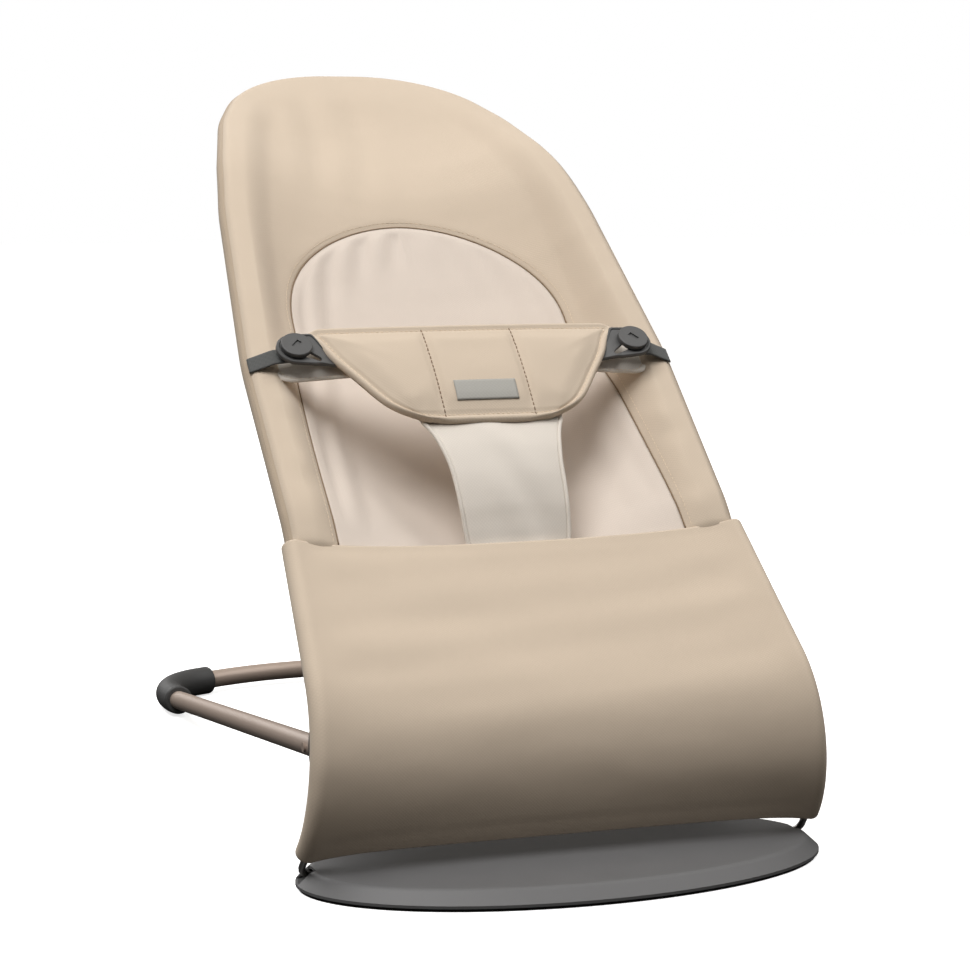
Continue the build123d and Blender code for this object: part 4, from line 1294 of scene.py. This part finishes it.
@dataclass
class Harness:
    """Bib, its patch, the crotch strip, the plates, the tabs and the straps."""

    shape: SeatShape
    palette: Palette
    # bib
    bib_top: float = 0.315
    bib_bottom: float = 0.2150
    bib_level: float = 0.25
    bib_sides: tuple = ((0.2150, 0.0440), (0.2165, 0.0495), (0.2190, 0.0555), (0.2225, 0.0620), (0.2271, 0.0688),
                        (0.2322, 0.0745), (0.2389, 0.0803), (0.2610, 0.0948), (0.2830, 0.1085), (0.3000, 0.1162),
                        (0.3110, 0.1218), (0.3150, 0.1210))
    bib_crown: tuple = (0.0255, 0.0065)
    bib_edge: float = 0.0252
    bib_reach: float = 0.125
    bib_middle: float = -0.0040
    bib_dip: float = 0.005
    bib_corner: float = 0.004
    bib_low_corner: float = 0.0025
    bib_grid: tuple = (45, 111)
    bib_crowding: tuple = (0.45, 0.55)
    bib_thickness: tuple = (0.0003, 0.0029, 0.0022, -0.0016)
    bib_pressure: float = 3.0
    bib_frames: int = 16
    bib_fill_limit: float = 0.0045
    rim_width: float = 0.0060
    rim_round: float = 0.0030
    rim_groove: float = 0.0016
    rim_share: float = 0.945
    rim_points: int = 80
    rim_spacing: float = 0.002
    rim_lift: float = 0.0001
    swell_end: float = 0.024
    channel_at: float = 0.035
    channel_width: float = 0.0035
    channel_depths: tuple = (0.0030, -0.0015)
    channel_ends: tuple = (0.003, 0.009)
    channel_points: int = 60
    channel_lift: float = 0.0002
    channel_thread: Thread = Thread(0.0032, 0.0010, 0.00045)
    rim_thread: Thread = Thread(0.0026, 0.0012, 0.0003)
    above: float = 0.08
    missed_drop: float = 0.06
    patch_at: float = 0.2400
    patch_half: tuple = (0.024, 0.0085)
    patch_grid: tuple = (25, 11)
    patch_lift: float = 0.0009
    patch_thickness: float = 0.0007
    # crotch strip
    strip_line: tuple = ((0.104, -0.0150, 0.0375), (0.121, -0.0120, 0.0375), (0.135, -0.0040, 0.0390),
                         (0.150, 0.0050, 0.0400), (0.177, 0.0150, 0.0415), (0.200, 0.0190, 0.0455),
                         (0.212, 0.0195, 0.0490), (0.222, 0.0185, 0.0530), (0.236, 0.0165, 0.0550),
                         (0.246, 0.0155, 0.0555))
    strip_shift: float = 0.0050
    strip_lean: float = 0.0018
    strip_lean_span: tuple = (0.121, 0.219)
    strip_crown: float = 0.0015
    strip_round: float = 0.0035
    strip_fold: float = 0.0010
    fold_wave: tuple = (102.0, 6.0)
    fold_at: float = 0.2
    fold_width: float = 0.5
    strip_grid: tuple = (48, 41)
    strip_thickness: float = 0.0026
    strip_cord: float = 0.0016
    strip_cord_sides: int = 10
    strip_cord_out: float = 0.0008
    strip_cord_low: float = 0.0004
    # buckle plates
    disc: tuple = (0.1334, 0.2936, 0.0257)
    buckle_turn: float = 41.4
    plate_middle: tuple = (0.0095, 0.0004)
    plate_circles: tuple = ((0.0003, -0.0004, 0.0148), (0.0166, -0.0001, 0.0060), (0.0294, 0.0087, 0.0024),
                            (0.0020, 0.0167, 0.0035))
    slot_circles: tuple = ((0.0, 0.0, 0.0032), (0.0090, 0.0, 0.0032), (0.0190, 0.0015, 0.0022))
    plate_section: tuple = ((0, 0.0, 0.0030), (0, 0.0, 0.0012), (0, 0.0004, 0.0008), (1, -0.0024, 0.0008),
                            (1, -0.0020, 0.0), (1, -0.0007, 0.0), (1, 0.0, 0.0007), (1, 0.0, 0.0030))
    plate_rows: tuple = (0, 1, 2, 2.25, 2.5, 2.75, 3, 4, 5, 6, 7, 7.25, 7.5, 7.75)
    plate_points: int = 160
    plate_drop: float = 0.0042
    plate_drop_span: tuple = (0.0140, 0.0300)
    # tabs
    tab_turn: float = 10.0
    tab_height: float = 0.0095
    tab_rise: float = 7.2
    tab_circles: tuple = ((0.0, -0.002, 0.017), (0.042, -0.001, 0.0125))
    tab_points: int = 120
    tab_faces: tuple = (-0.0008, -0.0020)
    tab_rim: tuple = (0.93, 0.045, 0.0010)
    tab_tuck: float = 0.0005
    tab_seam: float = 0.84
    tab_seam_height: float = -0.0007
    tab_thread: Thread = Thread(0.0024, 0.0012, 0.00028)
    # straps
    strap_at: float = 0.292
    strap_line: tuple = ((0.1305, 0.0205), (0.1500, 0.0180), (0.1585, 0.0137), (0.1675, 0.0093))
    strap_bends: tuple = (0.010, 0.006)
    strap_spacing: float = 0.0012
    strap_columns: int = 13
    strap_half: float = 0.007
    strap_thickness: float = 0.0014
    strap_give: tuple = (0.1640, 0.1390)

    def __post_init__(self) -> None:
        """Work out the bib's length and the direction out of it."""
        self.bib_size = self.bib_top - self.bib_bottom
        self.out = self.shape.out_of(self.bib_level)

    def bib_height(self, x: np.ndarray, along: np.ndarray) -> np.ndarray:
        """Height of the bib's front before it is filled.

        Args:
            x: Distance across.
            along: Distance up the seat.

        Returns:
            Heights over the rails' line.
        """
        low, rise = self.bib_crown
        share = (along - self.bib_bottom) / self.bib_size
        crown = low + rise * share
        return crown - (crown - self.bib_edge) * (np.abs(x) / self.bib_reach) ** 2

    def bib_spot(self, u: np.ndarray, v: np.ndarray) -> tuple[np.ndarray, np.ndarray]:
        """Place on the bib by its own shares across and up.

        Args:
            u: Share across, from -1 to 1.
            v: Share up, from 0 to 1.

        Returns:
            Distance across and distance up the seat.
        """
        along = self.bib_bottom + self.bib_size * v
        dip = self.bib_dip * (1 - u ** 2) * smooth_step(v, 0.55, 1.0)
        corner = self.bib_corner * smooth_step(np.abs(u), 0.90, 1.0) ** 2 * smooth_step(v, 0.80, 1.0)
        low_corner = self.bib_low_corner * smooth_step(np.abs(u), 0.5, 1.0) ** 2 * (1 - smooth_step(v, 0.0, 0.25))
        return eased(self.bib_sides, along) * u, along - dip - corner + low_corner

    def bib_pad(self) -> bpy.types.Object:
        """Padded bib: an outline drawn in to its bound edge, filled by cloth pressure."""
        rows, columns = self.bib_grid
        even, crowded = self.bib_crowding
        v, u = (even * share + crowded * np.sin(QUARTER_TURN * share)
                for share in (np.linspace(-1.0, 1.0, rows)[:, None], np.linspace(-1.0, 1.0, columns)[None]))
        v = 0.5 + 0.5 * v
        x, t = self.bib_spot(u, v)
        along = self.bib_bottom + self.bib_size * v
        edge = np.minimum((1 - np.abs(u)) * eased(self.bib_sides, along), np.minimum(v, 1 - v) * self.bib_size)
        rolled = np.sqrt(1 - (1 - np.clip(edge / self.rim_round, 0.0, 1.0)) ** 2)
        swell = smooth_step(edge, self.rim_width, self.swell_end)
        sewn_rim = bell(edge - self.rim_width, self.rim_groove)
        thick = sum(size * form for size, form in zip(self.bib_thickness, (1.0, rolled, swell, sewn_rim)))
        middle = self.bib_height(x, t) + self.bib_middle
        front, back = (self.shape.place(x, t, middle + deep).reshape(-1, 3) for deep in (thick, -thick))
        count, faces = rows * columns, grid_faces(rows, columns)
        index = np.arange(count).reshape(rows, columns)
        ring = np.concatenate([index[0, :-1], index[:-1, -1], index[-1, :0:-1], index[:0:-1, 0]])
        after = np.roll(ring, -1)
        rim = np.stack([after, ring, ring + count, after + count], axis=1)
        flat = np.stack([x, np.broadcast_to(along, x.shape)], axis=-1).reshape(-1, 2)
        pad = make_mesh("bib_pad", np.concatenate([front, back]),
                        np.concatenate([faces, faces[:, ::-1] + count, rim]), np.concatenate([flat, flat]))
        start = points_of(pad.data)
        filled = inflated(pad, self.bib_pressure, self.bib_frames)
        moved = filled - start
        size = np.linalg.norm(moved, axis=1, keepdims=True)
        moved *= np.minimum(1.0, self.bib_fill_limit / np.maximum(size, 1e-9))
        held = np.tile(swell.ravel(), 2)
        sewn = sum(bell(x - side.value * self.channel_at, self.channel_width) for side in Side).ravel()
        groove = np.concatenate([sewn * deep for deep in self.channel_depths]) * held
        result = start + moved * held[:, None] - groove[:, None] * self.out
        pad.data.vertices.foreach_set("co", result.astype(np.float32).ravel())
        pad.data.update()
        self.pad_front = BVHTree.FromPolygons(result[:count].tolist(), faces.tolist())
        return self.palette.seated(pad, "beige_cotton", "cloth_beige", "bib")

    def on_pad(self, x: np.ndarray, along: np.ndarray, lift: float) -> np.ndarray:
        """Points just above the finished bib's front.

        Args:
            x: Distance across.
            along: Distance up the seat.
            lift: Height over the cloth.

        Returns:
            Points, with those beside the bib at its foot's level.
        """
        high = self.shape.place(x, along, self.above).reshape(-1, 3)
        hits = [self.pad_front.ray_cast(Vector(p), Vector(-self.out))[0] for p in high]
        missed = high - self.missed_drop * self.out
        found = np.array([p if hit is None else hit for hit, p in zip(hits, missed)])
        return (found + lift * self.out).reshape(*np.shape(x), 3)

    def build_bib(self) -> None:
        """Bib with its channels, bound edge and bare patch."""
        pad = self.bib_pad()
        low, high = self.channel_ends
        t = np.linspace(self.bib_bottom + low, self.bib_top - high, self.channel_points)
        for side in Side:
            path = self.on_pad(np.full_like(t, side.value * self.channel_at), t, self.channel_lift)
            row = self.channel_thread.row(f"bib_channel_{side.word}", path, self.out)
            self.palette.seated(row, "brown_thread")
        shares, ones = np.linspace(-1.0, 1.0, self.rim_points), np.ones(self.rim_points)
        inset_v = 0.5 - self.rim_width / self.bib_size
        loop_u = self.rim_share * np.concatenate([-ones, shares, ones, -shares])
        loop_v = 0.5 + inset_v * np.concatenate([shares, ones, -shares, -ones])
        rim = resample(np.stack(self.bib_spot(loop_u, loop_v), axis=1), self.rim_spacing)
        edge = self.rim_thread.row("bib_edge_stitches", self.on_pad(*rim.T, self.rim_lift), self.out)
        self.palette.seated(edge, "beige_thread")
        over, up = (np.linspace(-half, half, count) for half, count in zip(self.patch_half, self.patch_grid))
        x, t = np.meshgrid(over, self.patch_at + up)
        patch = sheet_mesh("label_patch_cloth", self.on_pad(x, t, self.patch_lift), self.patch_thickness,
                           np.stack([x, t], axis=-1))
        self.palette.seated(patch, "grey_patch", "webbing_grey", "label_patch")

    def build_strip(self) -> None:
        """Crotch strip with a piped edge on each side."""
        line = np.array(self.strip_line)
        count, columns = self.strip_grid
        t = np.linspace(line[0, 0], line[-1, 0], count)
        n, half = eased(line[:, :2], t), eased(line[:, [0, 2]], t)
        u = np.linspace(-1.0, 1.0, columns)
        shift = self.strip_shift - self.strip_lean * smooth_step(t, *self.strip_lean_span)
        x = half[:, None] * u + shift[:, None]
        rows = np.broadcast_to(t[:, None], x.shape)
        up, over = self.fold_wave
        fold = self.strip_fold * np.sin(up * rows + over * u) * bell(u - self.fold_at, self.fold_width)
        height = n[:, None] + self.strip_crown - self.strip_round * u ** 2 + fold
        piece = sheet_mesh("crotch_strip_cloth", self.shape.place(x, rows, height), self.strip_thickness,
                           np.stack([x, rows], axis=-1))
        self.palette.seated(piece, "pale_satin", "cloth_pale", "crotch_strip")
        low = n + self.strip_crown - self.strip_round - self.strip_cord_low
        for side in Side:
            path = self.shape.place(side.value * (half + self.strip_cord_out) + shift, t, low)
            section = self.strip_cord * ring_of(self.strip_cord_sides)
            cord = sweep_mesh(f"strip_piping_{side.word}", path, self.shape.out_of(t), section)
            self.palette.seated(cord, "pale_satin", "cloth_pale")

    def buckle_frame(self, side: Side, degrees: float, height: float = 0.0, pitch: float = 0.0) -> Frame:
        """Frame of a buckle or its tab: along it, across it and out of it.

        Args:
            side: Left or right.
            degrees: Turn down from straight across the seat.
            height: Height of its origin over the rails' line.
            pitch: Degrees that it rises along its run.

        Returns:
            The frame, mirrored for the right side.
        """
        turn, seat, pitch = (math.radians(v) for v in (degrees, self.shape.seat_angle, pitch))
        rise, out = np.array([0, math.cos(seat), math.sin(seat)]), np.array([0, -math.sin(seat), math.cos(seat)])
        run = np.array([1.0, 0, 0]) * math.cos(turn) - rise * math.sin(turn)
        cross = np.cross(out, run)
        origin = self.shape.place(-self.disc[0], self.disc[1], 0.0) + height * out
        run, out = run * math.cos(pitch) + out * math.sin(pitch), out * math.cos(pitch) - run * math.sin(pitch)
        return Frame(*(v * np.array([-side.value, 1.0, 1.0]) for v in (origin, run, cross, out)))

    def build_plate(self, side: Side) -> None:
        """Teardrop plate with a raised rim and the button's slot, its tip tucked in beside the bib.

        Args:
            side: Left or right.
        """
        way, middle = ring_of(self.plate_points), np.array(self.plate_middle)
        loops = [hull_outline(circles, way, middle) for circles in (self.slot_circles, self.plate_circles)]
        rows = np.stack([loops[which] + way * inset for which, inset, _ in self.plate_section])
        low = np.floor(self.plate_rows).astype(int)
        part = (np.array(self.plate_rows) - low)[:, None, None]
        flat = rows[low] + (np.roll(rows, -1, axis=0)[low] - rows[low]) * part
        depth = np.array([row[2] for row in self.plate_section])[low][:, None]
        turn = math.radians(self.buckle_turn)
        inward = math.cos(turn) * flat[..., 0] + math.sin(turn) * flat[..., 1]
        high = self.disc[2] - depth - self.plate_drop * smooth_step(inward, *self.plate_drop_span)
        points = self.buckle_frame(side, self.buckle_turn).at(flat, high)
        index = np.arange(high.size).reshape(high.shape)
        below = np.roll(index, -1, axis=0)
        faces = np.stack([index, np.roll(index, -1, axis=1), np.roll(below, -1, axis=1), below], axis=-1)
        piece = make_mesh(f"buckle_plate_{side.word}_moulded", points, faces.reshape(-1, 4), smooth=False)
        self.palette.seated(piece, "grey_plastic", "plastic_grey", f"buckle_plate_{side.word}")

    def build_tab(self, side: Side) -> None:
        """Cloth tab behind a buckle, from under the bib out to the hoop.

        Args:
            side: Left or right.
        """
        lie = self.buckle_frame(side, self.tab_turn, self.tab_height, self.tab_rise)
        outer = hull_outline(self.tab_circles, ring_of(self.tab_points))
        middle = outer.mean(axis=0)
        share = np.concatenate([np.linspace(0.02, 0.76, 14), np.linspace(0.80, 1.0, 12)])[:, None]
        flat = middle + (outer[None] - middle) * share[..., None]
        at, width, size = self.tab_rim
        bulge = size * bell(share - at, width) - self.tab_tuck * smooth_step(share, 0.96, 1.0)
        front, back = self.tab_faces
        piece = shell_mesh(f"bib_tab_{side.word}_cloth", lie.at(flat, bulge + front), lie.at(flat, back - bulge),
                           fan_faces(*flat.shape[:2]), flat)
        self.palette.seated(piece, "pale_satin", "cloth_pale", f"bib_tab_{side.word}")
        ring = middle + (np.concatenate([outer, outer[:1]]) - middle) * self.tab_seam
        row = self.tab_thread.row(f"bib_tab_{side.word}_stitches", lie.at(ring, self.tab_seam_height), lie.out)
        self.palette.seated(row, "beige_thread")
        area_of(piece) / 2

    def build_strap(self, side: Side) -> None:
        """Webbing from under a button out over the padded edge to its seam.

        Args:
            side: Left or right.
        """
        line = filleted(list(self.strap_line), self.strap_bends, self.strap_spacing)
        wide = np.linspace(-self.strap_half, self.strap_half, self.strap_columns)
        x, t, n = np.broadcast_arrays(side.value * line[:, :1], self.strap_at + wide, line[:, 1:])
        flat = np.stack([np.broadcast_to(reach_of(line)[:, None], x.shape), t], axis=-1)
        front, back = (self.shape.place(x, t, n - deep) for deep in (0.0, self.strap_thickness))
        piece = shell_mesh(f"strap_{side.word}_webbing", front, back, grid_faces(*x.shape), flat)
        self.palette.dress(piece, "grey_webbing", "webbing_grey")
        _, y, z = self.shape.place(0.0, self.strap_at, self.disc[2]).tolist()
        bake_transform(piece)
        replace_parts(piece, f"strap_{side.word}")

    def build(self) -> None:
        """Make every piece of the harness."""
        self.build_bib()
        self.build_strip()
        for side in Side:
            self.build_plate(side)
            self.build_tab(side)
            self.build_strap(side)


# Hard pieces and studio


@dataclass
class HardPieces:
    """Finishes of the pieces that keep their built form."""

    palette: Palette
    finishes: tuple = (
        ("taupe_tube", ("seat_hoop", "cross_tube", "leg_tube", "leg_rivets")),
        ("plate_plastic", ("plate_cover",)),
        ("grey_plastic", ("button_left", "button_right")),
        ("dark_plastic", ("plate_tray", "saddle_caps", "hub_housing_left", "hub_housing_right", "spring_clamp_left",
                          "spring_clamp_right", "leg_eye_left", "leg_eye_right", "boot_left", "boot_right")),
        ("black_rubber", ("plate_grip", "friction_washers")),
        ("bright_steel", ("plate_screws", "hinge_pin_left", "hinge_pin_right", "rail_rivets", "clamp_screws")),
    )

    def build(self) -> None:
        """Assign every finish."""
        for finish, nodes in self.finishes:
            for node in nodes:
                self.palette.dress(bpy.data.objects[node], finish)


@dataclass
class Studio:
    """Pale floor, soft light and the camera at the photograph's angle."""

    camera_at: tuple = (-0.6084, -1.9391, 0.4842)
    turn: float = -18.59
    dip: float = 7.07
    lens: float = 95.77
    floor_size: float = 14.0
    floor_seen: float = 0.90
    floor_lit: float = 0.05
    floor_glow: float = 0.72
    sky_colour: tuple = (1.0, 0.94, 0.86, 1.0)
    sky_low: float = 0.02
    sky_high: float = 0.66
    sky_falloff: float = 1.6
    lamps: tuple = (("key", (-1.1, -0.85, 2.7), (0.0, 0.0, 0.25), 1.8, 64.0),
                    ("fill", (1.6, -0.6, 2.4), (0.0, 0.0, 0.35), 2.4, 28.0),
                    ("back", (-0.9, 2.4, 1.5), (0.0, 0.1, 0.2), 2.0, 26.0))

    def floor(self) -> None:
        """Floor that is white to the eye, keeps a faint shadow and throws little light back."""
        corners = self.floor_size * np.array([[-1, -1, 0], [1, -1, 0], [1, 1, 0], [-1, 1, 0]])
        plane = make_mesh("floor", corners, np.array([[0, 1, 2, 3]]), closed=False)
        material = bpy.data.materials.new("floor_white")
        material.use_nodes = True
        n = Nodes(material.node_tree)
        inputs = material.node_tree.nodes["Principled BSDF"].inputs
        inputs["Roughness"].default_value = 0.9
        inputs["Specular IOR Level"].default_value = 0.0
        inputs["Emission Color"].default_value = (1.0, 1.0, 1.0, 1.0)
        sight = n.add("ShaderNodeLightPath").outputs["Is Camera Ray"]
        lit, seen = ((grey, grey, grey, 1.0) for grey in (self.floor_lit, self.floor_seen))
        n.feed(inputs["Base Color"], n.mix(sight, lit, seen))
        n.feed(inputs["Emission Strength"], n.math("MULTIPLY", sight, self.floor_glow))
        plane.data.materials.append(material)

    def lamp(self, name: str, at: tuple, aim: tuple, size: float, power: float) -> None:
        """Square soft light.

        Args:
            name: Light name.
            at: Its place.
            aim: Where it points.
            size: Side length.
            power: Watts.
        """
        light = bpy.data.lights.new(name, "AREA")
        light.shape, light.size, light.energy = "SQUARE", size, power
        self.aimed(bpy.data.objects.new(name, light), at, Vector(aim) - Vector(at))

    def aimed(self, piece: bpy.types.Object, at: tuple, ahead: Vector) -> bpy.types.Object:
        """Place a lamp or the camera and turn it.

        Args:
            piece: The object.
            at: Its place.
            ahead: Direction that it looks in.

        Returns:
            The same object.
        """
        piece.location = at
        piece.rotation_euler = ahead.to_track_quat("-Z", "Y").to_euler()
        bpy.context.scene.collection.objects.link(piece)
        return piece

    def sky(self) -> None:
        """White surround to the eye; as light it is warm, and brighter overhead than low down."""
        world = bpy.data.worlds.new("studio")
        bpy.context.scene.world = world
        world.use_nodes = True
        n = Nodes(world.node_tree)
        path = n.add("ShaderNodeLightPath").outputs
        seen = n.math("MAXIMUM", path["Is Camera Ray"], path["Is Transmission Ray"])
        way = n.add("ShaderNodeSeparateXYZ", i0=n.add("ShaderNodeTexCoord").outputs["Generated"])
        high = n.math("POWER", n.math("MAXIMUM", way.outputs[2], 0.0), self.sky_falloff)
        glow = n.math("ADD", self.sky_low, n.math("MULTIPLY", high, self.sky_high))
        unseen = n.math("MULTIPLY", n.math("SUBTRACT", 1.0, seen), glow)
        back = world.node_tree.nodes["Background"].inputs
        n.feed(back["Color"], n.mix(seen, self.sky_colour, (1.0, 1.0, 1.0, 1.0)))
        n.feed(back["Strength"], n.math("ADD", seen, unseen))

    def camera(self) -> None:
        """Camera solved from the photograph."""
        data = bpy.data.cameras.new("camera")
        data.lens, data.sensor_width, data.sensor_fit = self.lens, 36.0, "AUTO"
        a, e = math.radians(self.turn), math.radians(self.dip)
        ahead = Vector((-math.sin(a) * math.cos(e), math.cos(a) * math.cos(e), -math.sin(e)))
        bpy.context.scene.camera = self.aimed(bpy.data.objects.new("camera", data), self.camera_at, ahead)

    def build(self) -> None:
        """Set the whole stage."""
        self.floor()
        for lamp in self.lamps:
            self.lamp(*lamp)
        self.sky()
        self.camera()
        bpy.context.scene.view_settings.view_transform = "Standard"


def main() -> None:
    """Build the whole scene."""
    palette = Palette()
    palette.build()
    HardPieces(palette).build()
    for part in (Sling, CalfPanel, Harness):
        part(SHAPE, palette).build()
    Studio().build()
    for piece in bpy.context.scene.objects:
        log.info("made %s", piece.name)


if __name__ == "__main__":
    main()
